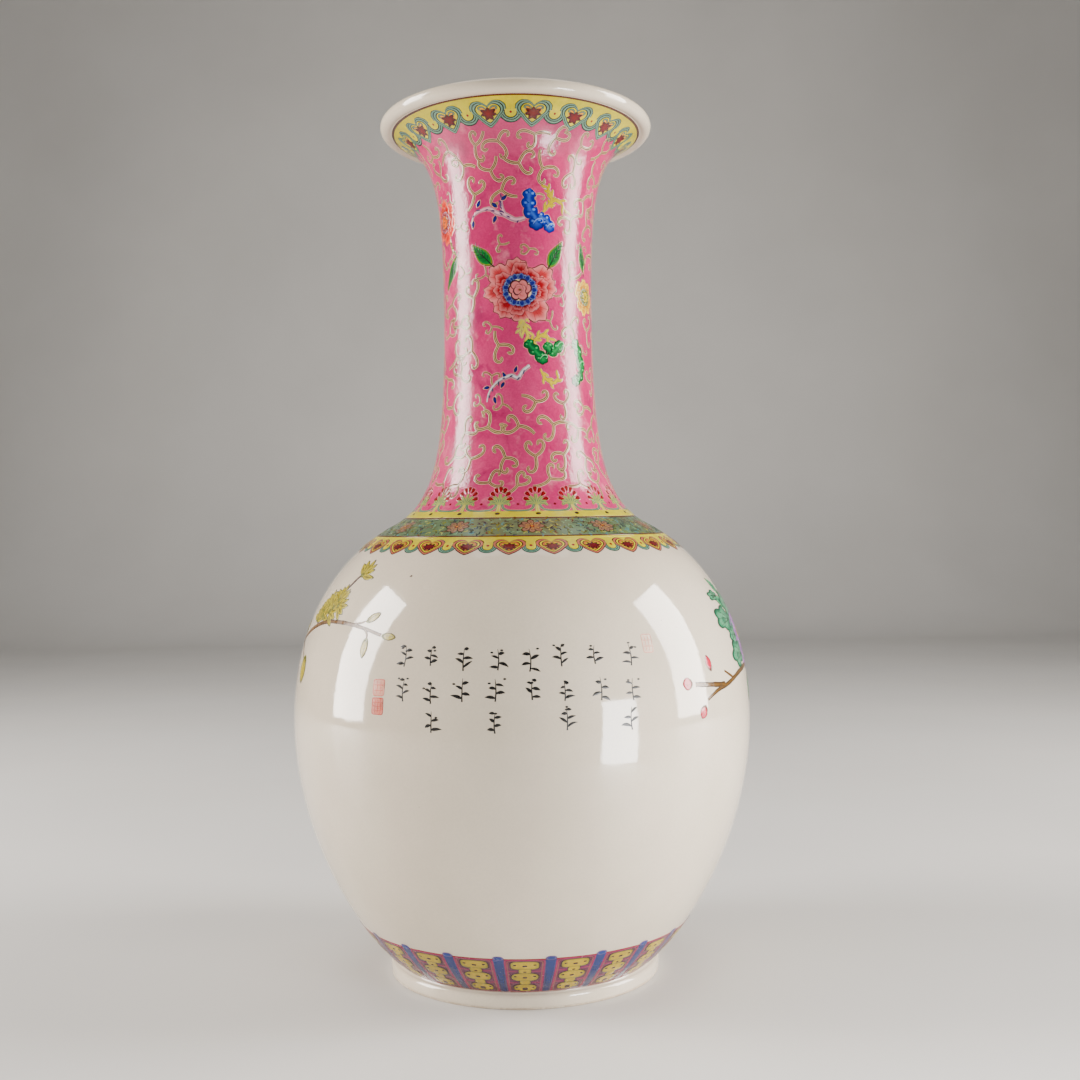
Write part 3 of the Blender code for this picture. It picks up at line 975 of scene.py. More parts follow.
def long_leaf(length, width):
    """A pointed leaf along +x with a dark rib and side veins and a pale margin."""
    d = Drawing()
    light, dark, half = GREEN * 0.62, DARK_GREEN * 0.7, width / 2
    outline = smooth_path([
        (0, 0), (length * 0.16, half * 0.72), (length * 0.42, half), (length * 0.74, half * 0.58),
        (length, 0),
        (length * 0.76, -half * 0.50), (length * 0.44, -half * 0.92), (length * 0.15, -half * 0.66),
    ], 36, True)
    d.disc(outline, [
        (0, dark, 0.07), (0.35, light * 0.8, 0.09), (0.74, light, 0.08),
        (0.80, mixed(light, LEMON, 0.35), 0.07),
        (0.9, OUTLINE * 0.9, 0.06), (0.95, HALO, 0.03), (1, HALO, -0.02),
    ], base=0.05, centre=(length * 0.46, 0))
    vein = [(0, dark * 0.6, 0.04), (1, dark, -0.01)]
    rib = np.stack([np.linspace(-length * 0.06, length * 0.94, 12), np.zeros(12)], 1)
    d.ribbon(rib, tapered(12, 0.3, 0.36, 0.08, 0.2), vein, 0.14)
    for k in range(1, 6):
        for side in (-1, 1):
            x = length * (0.12 + 0.13 * k)
            path = smooth_path([
                (x, 0), (x + length * 0.07, side * half * 0.36), (x + length * 0.15, side * half * 0.62)
            ], 6)
            d.ribbon(path, tapered(6, 0.16, 0.18, 0.04), vein, 0.14)
    return d


def acanthus(points, rng, width, light, dark):
    """A fleshy curled leaf along a path: deep lobes on both sides, and a curled end."""
    d = Drawing()
    count = 72
    path = smooth_path(points, count)
    slope = np.gradient(path, axis=0)
    slope /= np.linalg.norm(slope, axis=1)[:, None]
    side = np.stack([-slope[:, 1], slope[:, 0]], 1)
    run = float(np.hypot(*np.diff(path, axis=0).T).sum())
    lobes = max(3, round(run / 4.6))
    share = np.linspace(0, 1, count)
    wave = np.abs(np.sin(share * lobes * math.pi + rng.uniform(-0.2, 0.2)))
    half = rounded(count, width / 2, 9) * (0.62 + 0.42 * wave**0.7)
    half[: count // 5] *= np.linspace(0.55, 1.0, count // 5)
    middle, rim = mixed(light, dark, 0.55), dark * 0.4
    tip, size = path[-5], width * 0.52
    halo = [(0, HALO, 0.04), (1, HALO, -0.02)]
    for k in range(lobes):
        at = min(count - 1, round((k + 0.5) / lobes * (count - 1)))
        for way in (-1, 1):
            for ahead in (-2, 2):
                spot = min(count - 1, max(0, at + ahead))
                d.disc(oval(1.5, 1.5, 12), halo, path[spot] + side[spot] * way * half[spot] * 1.02, 0.03)
    d.disc(oval(size * 2 + 1.2, size * 1.8 + 1.2, 28, 0.16, 6), halo, tip, 0.04)
    d.ribbon(path, half + 0.45, [(0, HALO, 0.05), (0.9, HALO, 0.04), (1, HALO, -0.02)], 0.04)
    d.disc(oval(size * 2, size * 1.8, 28, 0.18, 6), [
        (0, middle, 0.09), (0.72, dark, 0.07), (0.88, rim, 0.05), (1, rim, -0.01),
    ], tip, 0.08)
    d.ribbon(
        path, half,
        [(0, middle, 0.10), (0.45, dark, 0.10), (0.84, dark, 0.08), (0.91, rim, 0.06), (1, rim, -0.01)],
        0.08
    )
    for k in range(lobes):
        at = min(count - 3, round((k + 0.5) / lobes * (count - 1)))
        facing = math.degrees(math.atan2(side[at][1], side[at][0]))
        for way, tone, reach in ((1, light, 0.46), (-1, mixed(light, dark, 0.45), 0.40)):
            d.disc(oval(half[at] * 0.62, width * 0.26, 16, 0.1, 4), [
                (0, mixed(tone, WHITE, 0.14), 0.05), (0.5, tone, 0.05), (1, dark, -0.02),
            ], path[at] + side[at] * way * half[at] * reach, 0.15)
        d.ribbon(curl_path(path[at], facing + 150, half[at] * 0.9, -40, 0, 8), tapered(8, 0.26, 0.2, 0.05), [
            (0, rim, 0.03), (1, dark, -0.01),
        ], 0.20)
    d.ribbon(curl_path(
        tip + np.array([-size * 0.4, -size * 0.1]), 60, size * 2.2, -60, -260, 16
    ), tapered(16, 0.18, 0.40, 0.2), [
        (0, mixed(light, WHITE, 0.4), 0.03), (0.5, light, 0.03), (1, dark, -0.01),
    ], 0.20)
    return d


def frond(points, colour=MUSTARD, reach=4.2, size=1.0):
    """A fan of thin curling blades along a path."""
    d = Drawing()
    path = smooth_path(points, 24)
    blade = [
        (0, colour, 0.09), (0.5, colour, 0.08), (0.7, OUTLINE, 0.06), (0.85, HALO, 0.04), (1, HALO, -0.02)
    ]
    d.ribbon(path, tapered(24, 0.7, 1.3, 0.5), blade, 0.05)
    for k in range(3, 22, 3):
        facing = facing_at(path, k)
        side = 1 if k % 2 else -1
        d.ribbon(
            curl_path(path[k], facing + side * 38, reach * size, side * 20, -side * 70, 8),
            tapered(8, 0.8, 1.05, 0.35), blade, 0.06
        )
    return d


def bare_branch(points, rng, width=2.2, tone=paint(226, 176, 186), shade=paint(110, 84, 130)):
    """A gnarled pale branch on the rose ground, with a shaded underside and a few dark buds."""
    d = Drawing()
    path = smooth_path(points, 40)
    wobble = np.array([rng.uniform(-0.22, 0.22) for _ in range(40)])
    half = tapered(40, width * 0.42, width * 0.5, width * 0.16, 0.25) + wobble * 0.6
    d.ribbon(
        path, np.clip(half * 1.3, 0.2, None),
        [(0, HALO, 0.06), (0.7, shade, 0.06), (0.82, HALO, 0.05), (1, HALO, -0.02)], 0.05
    )
    d.ribbon(
        path + np.array([0, 0.25]), np.clip(half * 0.7, 0.15, None),
        [(0, tone, 0.08), (0.6, tone, 0.07), (1, shade, -0.01)], 0.08
    )
    for k in range(4, 36, 5):
        facing = facing_at(path, k) + rng.uniform(-30, 60)
        stroke = curl_path(
            path[k] + np.array([0, rng.uniform(-0.6, 0.5)]), facing, rng.uniform(1.6, 3.2),
            rng.uniform(-40, 40), 0, 7
        )
        d.ribbon(
            stroke, tapered(7, 0.12, 0.42, 0.08, 0.4),
            [(0, shade * 0.35, 0.03), (0.6, shade * 0.5, 0.02), (1, shade, -0.01)], 0.17
        )
    return d


def dark_leaf(length=5.0, width=2.6):
    """A small navy leaf along +x, with a pale margin."""
    outline = smooth_path(
        [(0, 0), (length * 0.4, width / 2), (length, 0), (length * 0.45, -width / 2)], 20, True
    )
    return Drawing().disc(outline, [
        (0, NAVY, 0.09), (0.6, NAVY * 0.7, 0.08), (0.78, INK, 0.07), (0.88, HALO, 0.04), (1, HALO, -0.02)
    ], base=0.06, centre=(length * 0.45, 0))


def along_at(height):
    """The distance up the wall at a height above the table, in mm."""
    return float(np.interp(height, WALL[:, 1], ALONG))


def flat(points, turn, height):
    """Places given as (angle, height) turned into millimetres round an anchor of the same kind."""
    along = along_at(height)
    found = []
    for angle, level in points:
        up = along_at(level)
        found.append((math.radians(angle - turn) * float(radius_at(up)), up - along))
    return found


def neck_bouquet(p, turn, rng):
    """The big bloom with its leaves, stem and scrolling leaves, centred at an angle on the neck."""
    def put(drawing, angle, height, **placing):
        p.lay(Drawing().placed(drawing, **placing), turn + angle, along_at(height))

    def grow(kind, anchor, points, *style):
        put(kind(flat(points, *anchor), *style), *anchor)

    def put_leaf(root, tip, width):
        (x0, y0), (x1, y1) = flat([root, tip], *root)
        leaf = long_leaf(math.hypot(x1 - x0, y1 - y0), width)
        put(leaf, *root, turn=math.degrees(math.atan2(y1, x1)))

    grow(bare_branch, (0, 400), [
        (6, 398.1), (-1, 397.2), (-8.3, 399.8), (-14, 401), (-19.3, 403.4), (-25, 403.2), (-31.5, 401.4),
        (-35, 397),
    ], rng, 2.3)
    grow(bare_branch, (0, 400), [(-8.3, 399.8), (-10.5, 404), (-10.2, 409)], rng, 1.6)
    for angle, height, facing in (
        (-26.9, 404.6, 60), (-8.6, 407.0, 40), (-12, 400.2, 250), (-30.4, 398.9, 265), (-10.6, 403.6, 140),
    ):
        put(dark_leaf(), angle, height, turn=facing, at=(-2, 0))
    grow(acanthus, (9, 403), [(9.4, 413.4), (8.8, 407.5), (9.2, 402.6), (13, 399.0), (14.6, 394.6)],
         rng, 8.0, paint(84, 132, 226), paint(6, 26, 132))
    grow(acanthus, (19, 397), [(15, 399.6), (19.2, 398.4), (23.0, 396.6), (24.4, 393.6)],
         rng, 6.2, paint(120, 166, 236), paint(10, 34, 150))
    grow(frond, (27, 405), [(17, 400.5), (20.7, 402.7), (24, 406), (29.2, 408.5), (34, 407), (38.4, 402.2)],
         paint(190, 170, 50), 5.0)
    grow(frond, (25, 408), [(26, 404), (25, 410), (21, 415)], paint(180, 160, 50), 3.6)
    grow(bare_branch, (-7, 313), [
        (8, 321.5), (3, 318.6), (-0.4, 315.1), (-5, 316.4), (-9.8, 315.3), (-14, 314), (-19.5, 310.3),
        (-22, 307),
        (-23.2, 303.1),
    ], rng, 2.1, paint(226, 220, 226), paint(100, 96, 130))
    for angle, height, facing in (
        (-3, 317.5, 70), (-8.8, 314.8, 120), (-20.6, 311.0, 190), (-18.2, 306.0, 290), (-10, 313.6, 240),
    ):
        put(dark_leaf(4.6, 2.3), angle, height, turn=facing)
    grow(frond, (5, 342), [(3.1, 350), (4.2, 344), (6.5, 339), (8.8, 334)], paint(214, 196, 96), 4.6, 1.1)
    grow(frond, (3, 343), [(5.0, 349), (3.0, 343), (1.0, 338)], paint(200, 186, 110), 3.4)
    grow(acanthus, (13, 330), [(6.0, 335.4), (9.4, 331.6), (13.6, 328.6), (18.6, 324.8)],
         rng, 6.4, paint(60, 176, 100), paint(2, 84, 44))
    grow(bare_branch, (22, 328), [(18.4, 326.2), (22, 328.0), (26, 329.4)], rng, 1.2, GREEN, DARK_GREEN)
    grow(acanthus, (27, 332), [(21.6, 334.6), (23.4, 330.6), (28.0, 329.8), (32.6, 333.2)],
         rng, 6.2, paint(80, 196, 116), paint(4, 104, 54))
    grow(acanthus, (50, 329), [(45.0, 336.8), (50.4, 332.0), (54.4, 323.0)],
         rng, 7.2, paint(80, 196, 116), paint(2, 96, 50))
    grow(acanthus, (51, 318), [(54.6, 323.6), (52.6, 318.0), (46.0, 314.6)],
         rng, 6.2, paint(70, 186, 110), paint(2, 90, 46))
    straw = paint(206, 186, 80)
    grow(frond, (16, 335), [(8, 332), (14, 336), (20, 338), (25, 335)], straw, 4.2)
    grow(frond, (22, 317), [(16, 320), (20, 315), (27, 313), (31, 317)], straw, 4.2)
    put_leaf((-18.1, 373.9), (-36, 386.6), 8.2)
    put_leaf((23.3, 372.6), (36, 388.2), 8.0)
    put_leaf((60.1, 373.0), (54.5, 390.0), 6.6)
    put_leaf((-50, 383.0), (-68.5, 364.5), 7.2)
    put(lotus(rng), 1.8, 360.9)
    put(lotus(rng, 26, paint(216, 24, 20), paint(244, 110, 90), CRIMSON, ORANGE), -66.5, 402.2)
    grow(bare_branch, (-56, 386), [(-60, 392), (-56, 385), (-50, 382)], rng, 1.5, SAGE, OLIVE)
    put(lotus(rng, 21, paint(226, 150, 40), paint(250, 214, 110), OLIVE, YELLOW), 62, 361.0)
    grow(bare_branch, (66, 380), [(60, 373), (62, 379), (68, 384), (78, 386)], rng, 1.5, SAGE, OLIVE)


# Where the scrolls leave room for the bouquet: angle, height and radius.
KEEP_CLEAR = [
    (1.8, 360.9, 21.5), (-27, 380, 9), (29.5, 380, 9), (57, 381, 7), (-59, 374, 9), (-63.5, 402.2, 13),
    (-75, 402.2, 9),
    (60, 361.5, 11), (-20, 402, 9), (-8, 400, 7.5), (10, 404, 8), (20, 397, 8.5), (30, 406, 8),
    (5, 343, 8), (14, 326, 9),
    (27, 330, 8), (52, 325, 9.5), (49, 314, 8), (-10, 315, 7.5), (-21, 308, 7), (2, 318, 7), (22, 316, 7),
    (18, 336, 6),
    (-32, 400, 6), (24, 412, 4),
]


def scroll_ground(rng, copies):
    """Tendrils over the rose ground wherever no flower stands, in two pieces to keep each one light."""
    pieces = [Piece(), Piece()]
    low, high = NECK_GROUND[0] + 18.5, NECK_GROUND[1] - 13.0
    rows = 14
    for row in range(rows):
        along = low + (high - low) * row / (rows - 1)
        radius = float(radius_at(along))
        count = round(2 * math.pi * radius / 15.8)
        for k in range(count):
            turn = 360 * (k + 0.5 * (row % 2) + rng.uniform(-0.18, 0.18)) / count
            place = along + rng.uniform(-2.2, 2.2)
            motif = scroll(rng)
            room = 100.0
            for centre in copies:
                for angle, height, keep in KEEP_CLEAR:
                    across = math.radians((turn - centre - angle + 180) % 360 - 180) * radius
                    room = min(room, math.hypot(across, place - along_at(height)) - keep)
            if room > -2.0:
                size = 1.0 if room > 2.6 else 0.62
                pieces[row >= rows // 2].lay(Drawing().placed(motif, size=size), turn, place)
    material = enamel_material("scroll_enamel", 70, 0.86, 1.10, 500, (0.12, 0.26))
    pieces[0].finish("neck_scrolls_lower", material, ENAMEL)
    pieces[1].finish("neck_scrolls_upper", material, ENAMEL)


def rose_material():
    """The rose enamel: brushed on in patches, so it wanders from deep to pale, with pitted gloss."""
    n = Nodes("rose_enamel")
    base = n.attribute("paint")
    broad = n.spread(n.noise(22, 5, 0.62, 0.5), 0.36, 0.68)
    tone = n.mix(broad, (0.40, 0.008, 0.092), (0.55, 0.040, 0.150))
    patch = n.spread(n.noise(60, 4, 0.65, 0.8), 0.52, 0.70)
    tone = n.mix(patch, tone, (0.31, 0.008, 0.080))
    pale = n.spread(n.noise(95, 3, 0.6), 0.60, 0.74, 0.0, 0.45)
    tone = n.mix(pale, tone, (0.74, 0.22, 0.28))
    grain = n.spread(n.noise(1100, 2, 0.5), 0.3, 0.7, 0.88, 1.10)
    tone = n.mix(1.0, tone, grain, "MULTIPLY")
    n.feed(Base_Color=n.mix(1.0, tone, base, "MULTIPLY"))
    n.feed(Roughness=n.spread(n.noise(70, 2), 0.3, 0.7, 0.10, 0.24))
    wide = n.bump(n.noise(120, 2, 0.5), 0.0006, 0.45)
    mid = n.bump(n.noise(330, 3, 0.55), 0.00022, 0.7, wide)
    n.feed(Normal=n.bump(n.noise(1300, 2, 0.5), 0.00004, 0.7, mid), IOR=1.56)
    return n.material


def neck_painting():
    """The rose ground, the scrolls on it, and a bouquet in front and behind."""
    rng = random.Random(41)
    ground = Piece()
    ground.band(*NECK_GROUND, np.ones(3), 0.06, step=2.2)
    ground.finish("rose_ground", rose_material(), ENAMEL)
    scroll_ground(random.Random(7), (0, 180))
    for turn, name in ((0, "neck_bouquet_front"), (180, "neck_bouquet_back")):
        p = Piece()
        neck_bouquet(p, turn, rng)
        material = enamel_material(name + "_enamel", 90, 0.80, 1.14, 420, (0.10, 0.24), 0.0003, 260)
        p.finish(name, material, ENAMEL)


# ---- the belly: sprigs, seals and flowering branches ----

def twig(points, width, rng, count=60, tip=0.24, dark=BROWN * 0.3, light=paint(120, 88, 54)):
    """A brown painted twig: a light brush stroke between two darker edges, with knots."""
    d = Drawing()
    path = smooth_path(points, count)
    half = tapered(count, width * 0.5, width * 0.46, width * tip / 2, 0.12)
    half = half * np.array([rng.uniform(0.85, 1.18) for _ in range(count)])
    half = np.convolve(np.pad(half, 1, mode="edge"), [0.25, 0.5, 0.25], mode="valid")
    d.ribbon(path, half, [
        (0, light, 0.07), (0.35, light * 0.8, 0.07), (0.7, mixed(light, dark, 0.6), 0.06),
        (0.86, dark, 0.05), (1, dark, -0.02)
    ], 0.03)
    for k in range(4, count - 4, 7):
        at = path[k] + np.array([rng.uniform(-0.3, 0.3), rng.uniform(-0.3, 0.3)]) * width
        d.disc(oval(width * 0.42, width * 0.22, 12), [(0, dark * 0.6, 0.03), (1, dark, -0.01)], at, 0.10)
    return d


def bud(length=5.6, width=3.4, colour=LEMON, edge=OLIVE, sepal=OLIVE):
    """A closed bud along +x, held by a small calyx."""
    d = Drawing()
    outline = smooth_path([
        (0, 0), (length * 0.25, width * 0.44), (length * 0.65, width * 0.46), (length, 0),
        (length * 0.65, -width * 0.46), (length * 0.25, -width * 0.44)
    ], 26, True)
    d.disc(outline, [
        (0, colour, 0.10), (0.55, colour, 0.10), (0.82, mixed(colour, edge, 0.45), 0.08),
        (0.86, edge, 0.06), (1, edge * 0.8, -0.02)
    ], base=0.05, centre=(length * 0.5, 0))
    d.ribbon(
        smooth_path([(length * 0.1, 0), (length * 0.5, width * 0.10), (length * 0.86, 0)], 8),
        tapered(8, 0.12, 0.22, 0.06), [(0, edge, 0.03), (1, edge, -0.01)], 0.15
    )
    for side in (-1, 1):
        half_way, tip = (length * 0.12, side * width * 0.3), (length * 0.38, side * width * 0.42)
        green = [(0, sepal, 0.05), (0.7, sepal * 0.7, 0.04), (1, sepal * 0.6, -0.01)]
        d.ribbon(smooth_path([(-0.6, 0), half_way, tip], 8), tapered(8, 0.5, 0.5, 0.08, 0.3), green, 0.12)
    return d


def ragged_blossom(rng, size=11.0, colour=LEMON, edge=paint(170, 160, 30)):
    """A half-open yellow blossom along +x: pointed petals fanning from a calyx."""
    d = Drawing()
    for k, spread in enumerate((-68, -38, -12, 14, 42, 70)):
        length = size * rng.uniform(0.78, 1.0)
        width = size * 0.30
        petal = smooth_path([
            (0, 0), (length * 0.35, width * 0.5), (length * 0.75, width * 0.44), (length, 0.05 * length),
            (length * 0.72, -width * 0.42), (length * 0.33, -width * 0.46)
        ], 24, True)
        one = Drawing().disc(petal, [
            (0, edge * 0.8, 0.08), (0.4, colour, 0.10), (0.78, mixed(colour, LEMON, 0.35), 0.09),
            (0.86, edge * 0.7, 0.06), (1, edge * 0.6, -0.02),
        ], centre=(length * 0.5, 0))
        one.ribbon(
            np.stack([np.linspace(length * 0.1, length * 0.8, 6), np.zeros(6)], 1),
            tapered(6, 0.1, 0.2, 0.05), [(0, edge * 0.7, 0.02), (1, edge, -0.01)], 0.10
        )
        d.placed(one, turn=spread + rng.uniform(-6, 6), base=0.03 + 0.02 * (k % 2))
    d.disc(
        oval(size * 0.26, size * 0.24, 16),
        [(0, OLIVE, 0.08), (0.7, OLIVE * 0.7, 0.07), (1, BROWN * 0.5, -0.01)], (0.2, 0), 0.14
    )
    return d


def painted_leaf(length, width, rng, light=paint(60, 168, 110), dark=paint(10, 80, 60), folds=3):
    """A broad cut leaf along +x: pointed lobes, a light half and a dark half, and ink veins."""
    d = Drawing()
    edge = [(0, 0)]
    for k in range(folds):
        x = length * (0.22 + 0.62 * k / folds)
        reach = width * 0.5 * math.sin(math.pi * (0.25 + 0.62 * (k + 0.5) / folds))
        edge += [(x, reach), (x + length * 0.09, reach * 0.76)]
    upper = edge + [(length, 0)]
    lower = [(x, -y * rng.uniform(0.85, 1.0)) for x, y in edge[:0:-1]]
    outline = smooth_path(upper + lower, 54, True)
    d.disc(outline, [
        (0, dark, 0.08), (0.35, mixed(light, dark, 0.5), 0.09), (0.78, light, 0.09),
        (0.90, mixed(light, LEMON, 0.3), 0.08), (0.93, INK, 0.06), (1, INK, -0.02),
    ], base=0.04, centre=(length * 0.42, 0))
    vein = [(0, INK * 1.5, 0.04), (1, dark, -0.01)]
    d.ribbon(
        smooth_path([(-length * 0.12, -0.2), (length * 0.4, 0.2), (length * 0.93, 0)], 14),
        tapered(14, 0.28, 0.34, 0.06, 0.2), vein, 0.13
    )
    for k in range(folds):
        for side in (-1, 1):
            x = length * (0.12 + 0.56 * k / folds)
            reach = width * 0.40 * math.sin(math.pi * (0.25 + 0.62 * (k + 0.5) / folds))
            path = smooth_path(
                [(x, 0), (x + length * 0.07, side * reach * 0.6), (x + length * 0.14, side * reach)], 7
            )
            d.ribbon(path, tapered(7, 0.18, 0.18, 0.04), vein, 0.13)
    return d


def peony(rng, size, deep, pale):
    """A full bloom: three rings of broad ruffled petals, pale at their edges, round gold stamens."""
    d = Drawing()
    for ring, (count, out, long) in enumerate(((9, 0.22, 0.30), (7, 0.13, 0.27), (6, 0.05, 0.22))):
        for k in range(count):
            turn = 360 / count * (k + 0.5 * ring) + rng.uniform(-7, 7)
            length, width = size * long * rng.uniform(0.92, 1.08), size * (0.30 - 0.03 * ring)
            share = np.linspace(-1, 1, 25)
            ruffle = 1 + 0.05 * np.sin(share * 9 + rng.uniform(0, 6)) + 0.03 * np.sin(share * 21)
            outer = np.stack([
                length * (0.35 + 0.65 * np.cos(share * 1.25)) * ruffle,
                np.sin(share * 1.35) * width * 0.52 * ruffle
            ], 1)
            one = Drawing().disc(np.concatenate([[[-0.1 * length, 0]], outer]), [
                (0, deep * 0.8, 0.08), (0.45, deep, 0.11), (0.72, mixed(deep, pale, 0.6), 0.11),
                (0.93, pale, 0.09), (0.955, deep * 0.5, 0.07), (1, deep * 0.5, -0.02),
            ], centre=(length * 0.42, 0))
            for spread in np.linspace(-0.36, 0.36, 5):
                path = np.stack(
                    [np.linspace(length * 0.12, length * 0.86, 6), np.linspace(0, spread * width, 6)], 1
                )
                one.ribbon(path, tapered(6, 0.1, 0.2, 0.05), [(0, deep * 0.6, 0.015), (1, deep, -0.01)], 0.11)
            d.placed(one, around(turn, size * out, size * out * 0.9), turn, base=0.02 + 0.04 * ring)
    for k in range(22):
        reach, turn = size * 0.085 * math.sqrt(rng.random()), rng.uniform(0, 2 * math.pi)
        d.disc(
            oval(size * 0.032, size * 0.032, 10),
            [(0, YELLOW, 0.06), (0.6, YELLOW, 0.05), (1, ORANGE * 0.6, -0.01)],
            (math.cos(turn) * reach, math.sin(turn) * reach), 0.24
        )
    return d


def put_at(p, drawing, angle, height, **placing):
    p.lay(Drawing().placed(drawing, **placing), angle, along_at(height))


def shoot(p, anchor, rng, points, width, *style):
    """A twig through points given by angle and height."""
    put_at(p, twig(flat(points, *anchor), width, rng, *style), *anchor)


def left_branch():
    """The twig with yellow blossoms that reaches in from the left."""
    rng = random.Random(5)
    p = Piece()
    anchor = (-60, 190)
    for points, *style in (
        ([(-112, 150), (
            -98, 166
        ), (-86, 176.5), (-76, 183.0), (-68, 188.2), (-60, 191.4), (-50.4, 191.7), (-42, 189.6),
          (-35.6, 186.6)], 3.2, 90, 0.5),
        ([(-57.6, 206.5), (-55.6, 211.0), (-53.4, 216.0)], 2.2, 18, 0.7, BROWN * 0.2, BROWN * 0.5),
        ([(-68, 188.6), (-66.5, 191), (-66, 193.5)], 1.3, 12, 0.7),
        ([(-47, 191.2), (-43.6, 192.2), (-41.6, 193.4)], 1.3, 12, 0.7),
        ([(-42, 189.8), (-40.4, 187), (-40.2, 184.2)], 1.3, 12, 0.7),
        ([(-80, 181), (-75, 176), (-71.5, 171.5)], 1.4, 16, 0.7),
    ):
        shoot(p, anchor, rng, points, *style)
    gold, olive = paint(168, 152, 0), paint(72, 74, 0)
    for angle, height, facing, size in (
        (-68.5, 191.5, 96, 11), (-65.5, 194.0, 62, 12), (-64, 193.0, 120, 12), (-61.5, 196.5, 20, 12),
        (-60, 198.5, 70, 13),
        (-57.5, 200.0, 10, 11), (-58.4, 202.6, 84, 11), (-63.5, 199.5, 140, 10), (-66, 196.5, 158, 10),
        (-53.0, 215.6, 58, 12), (-88, 178.5, 110, 11), (-93, 174.5, 70, 11), (-97, 171, 120, 10),
    ):
        put_at(p, ragged_blossom(rng, size, gold, olive), angle, height, turn=facing)
    put_at(p, bud(14.0, 11.0, paint(176, 160, 30), paint(84, 78, 4)), -69.5, 172.5, turn=-94)
    for angle, height, facing, length in (
        (-41.4, 193.2, 32, 9.0), (-35.0, 186.3, -4, 8.0), (-40.2, 184.2, -92, 9.5), (-80, 184, 80, 8.0),
    ):
        put_at(
            p, bud(length, length * 0.5, paint(184, 168, 62), paint(80, 76, 6)), angle, height,
            turn=facing
        )
    speck = Drawing().disc(
        oval(1.6, 1.0, 14, 0.3, 3), [(0, INK, 0.05), (0.6, BROWN * 0.5, 0.04), (1, BROWN, -0.01)]
    )
    put_at(p, speck, -32.1, 216.1, turn=30)
    material = enamel_material("branch_left_enamel", 120, 0.82, 1.14, 600, (0.24, 0.38), 0.0002, 300)
    p.finish("branch_left", material, ENAMEL)


def right_branch():
    """The twig with rosy buds, leaves and a violet flower that reaches in from the right."""
    rng = random.Random(6)
    p = Piece()
    anchor = (66, 166)
    brown = (BROWN * 0.2, paint(110, 82, 48))
    for points, *style in (
        ([(118, 140), (104, 152), (92, 160), (82, 165), (74.9, 164.4), (66, 162.2), (58, 158.4),
          (53.0, 156.6), (49.6, 154.4), (47.4, 152.4)], 3.8, 90, 0.45, *brown),
        ([(56, 158.2), (50, 159.2), (43.4, 160.4)], 2.8, 24, 0.8, *brown),
        ([(61, 161.0), (58.4, 163.2), (56.6, 164.8)], 1.8, 12, 0.6),
        ([(78, 165), (73, 172), (70, 182), (68.5, 192)], 1.7, 30),
    ):
        shoot(p, anchor, rng, points, *style)
    pink, deep = paint(206, 46, 74), paint(150, 12, 44)
    for angle, height, facing, length, width, rim in (
        (42.0, 161.0, 178, 6.2, 6.2, deep), (46.2, 149.2, 236, 6.4, 5.6, deep * 0.8),
        (50.2, 166.4, 108, 7.8, 5.0, deep * 0.5),
    ):
        put_at(p, bud(length, width, pink, rim, BROWN), angle, height, turn=facing)
    for angle, height, facing, length, width in (
        (76.5, 184, 165, 27, 16), (74.5, 196, 158, 17, 9), (80.5, 171.0, 168, 27, 15),
        (75, 203, 140, 15, 8), (83, 192, 80, 20, 12),
        (86, 168, 300, 20, 11), (92, 180, 30, 18, 10), (79, 158, 250, 14, 9),
    ):
        put_at(
            p, painted_leaf(length, width, rng, paint(84, 176, 124), paint(16, 96, 70)), angle, height,
            turn=facing
        )
    for angle, height, wide, high, turned in (
        (66.6, 190.0, 23, 13, 8), (69.8, 171.4, 21, 13, 75), (66.0, 202.0, 14, 6, 20),
        (70, 181, 14, 9, 40), (76, 197, 18, 14, 60),
    ):
        leaf = Drawing().disc(oval(wide, high, 60, 0.34, 5, turned), [
            (0, paint(40, 110, 78), 0.09), (0.45, paint(104, 158, 124), 0.10),
            (0.72, paint(70, 136, 100), 0.09), (0.90, paint(20, 84, 60), 0.07),
            (1, INK, -0.02),
        ], base=0.16, centre=(-wide * 0.12, -high * 0.1))
        for spread in (-0.3, 0.0, 0.34):
            vein = smooth_path(
                [(wide * 0.4, -high * 0.1), (0, spread * high * 0.6), (-wide * 0.36, spread * high)], 10
            )
            leaf.ribbon(
                vein, tapered(10, 0.4, 0.34, 0.06, 0.2), [(0, INK * 1.5, 0.03), (1, DARK_GREEN, -0.01)],
                0.26
            )
        put_at(p, leaf, angle, height)
    put_at(p, peony(rng, 38, paint(110, 44, 130), paint(196, 150, 206)), 80.5, 181)
    material = enamel_material("branch_right_enamel", 120, 0.82, 1.14, 600, (0.10, 0.20), 0.0002, 300)
    p.finish("branch_right", material, ENAMEL)


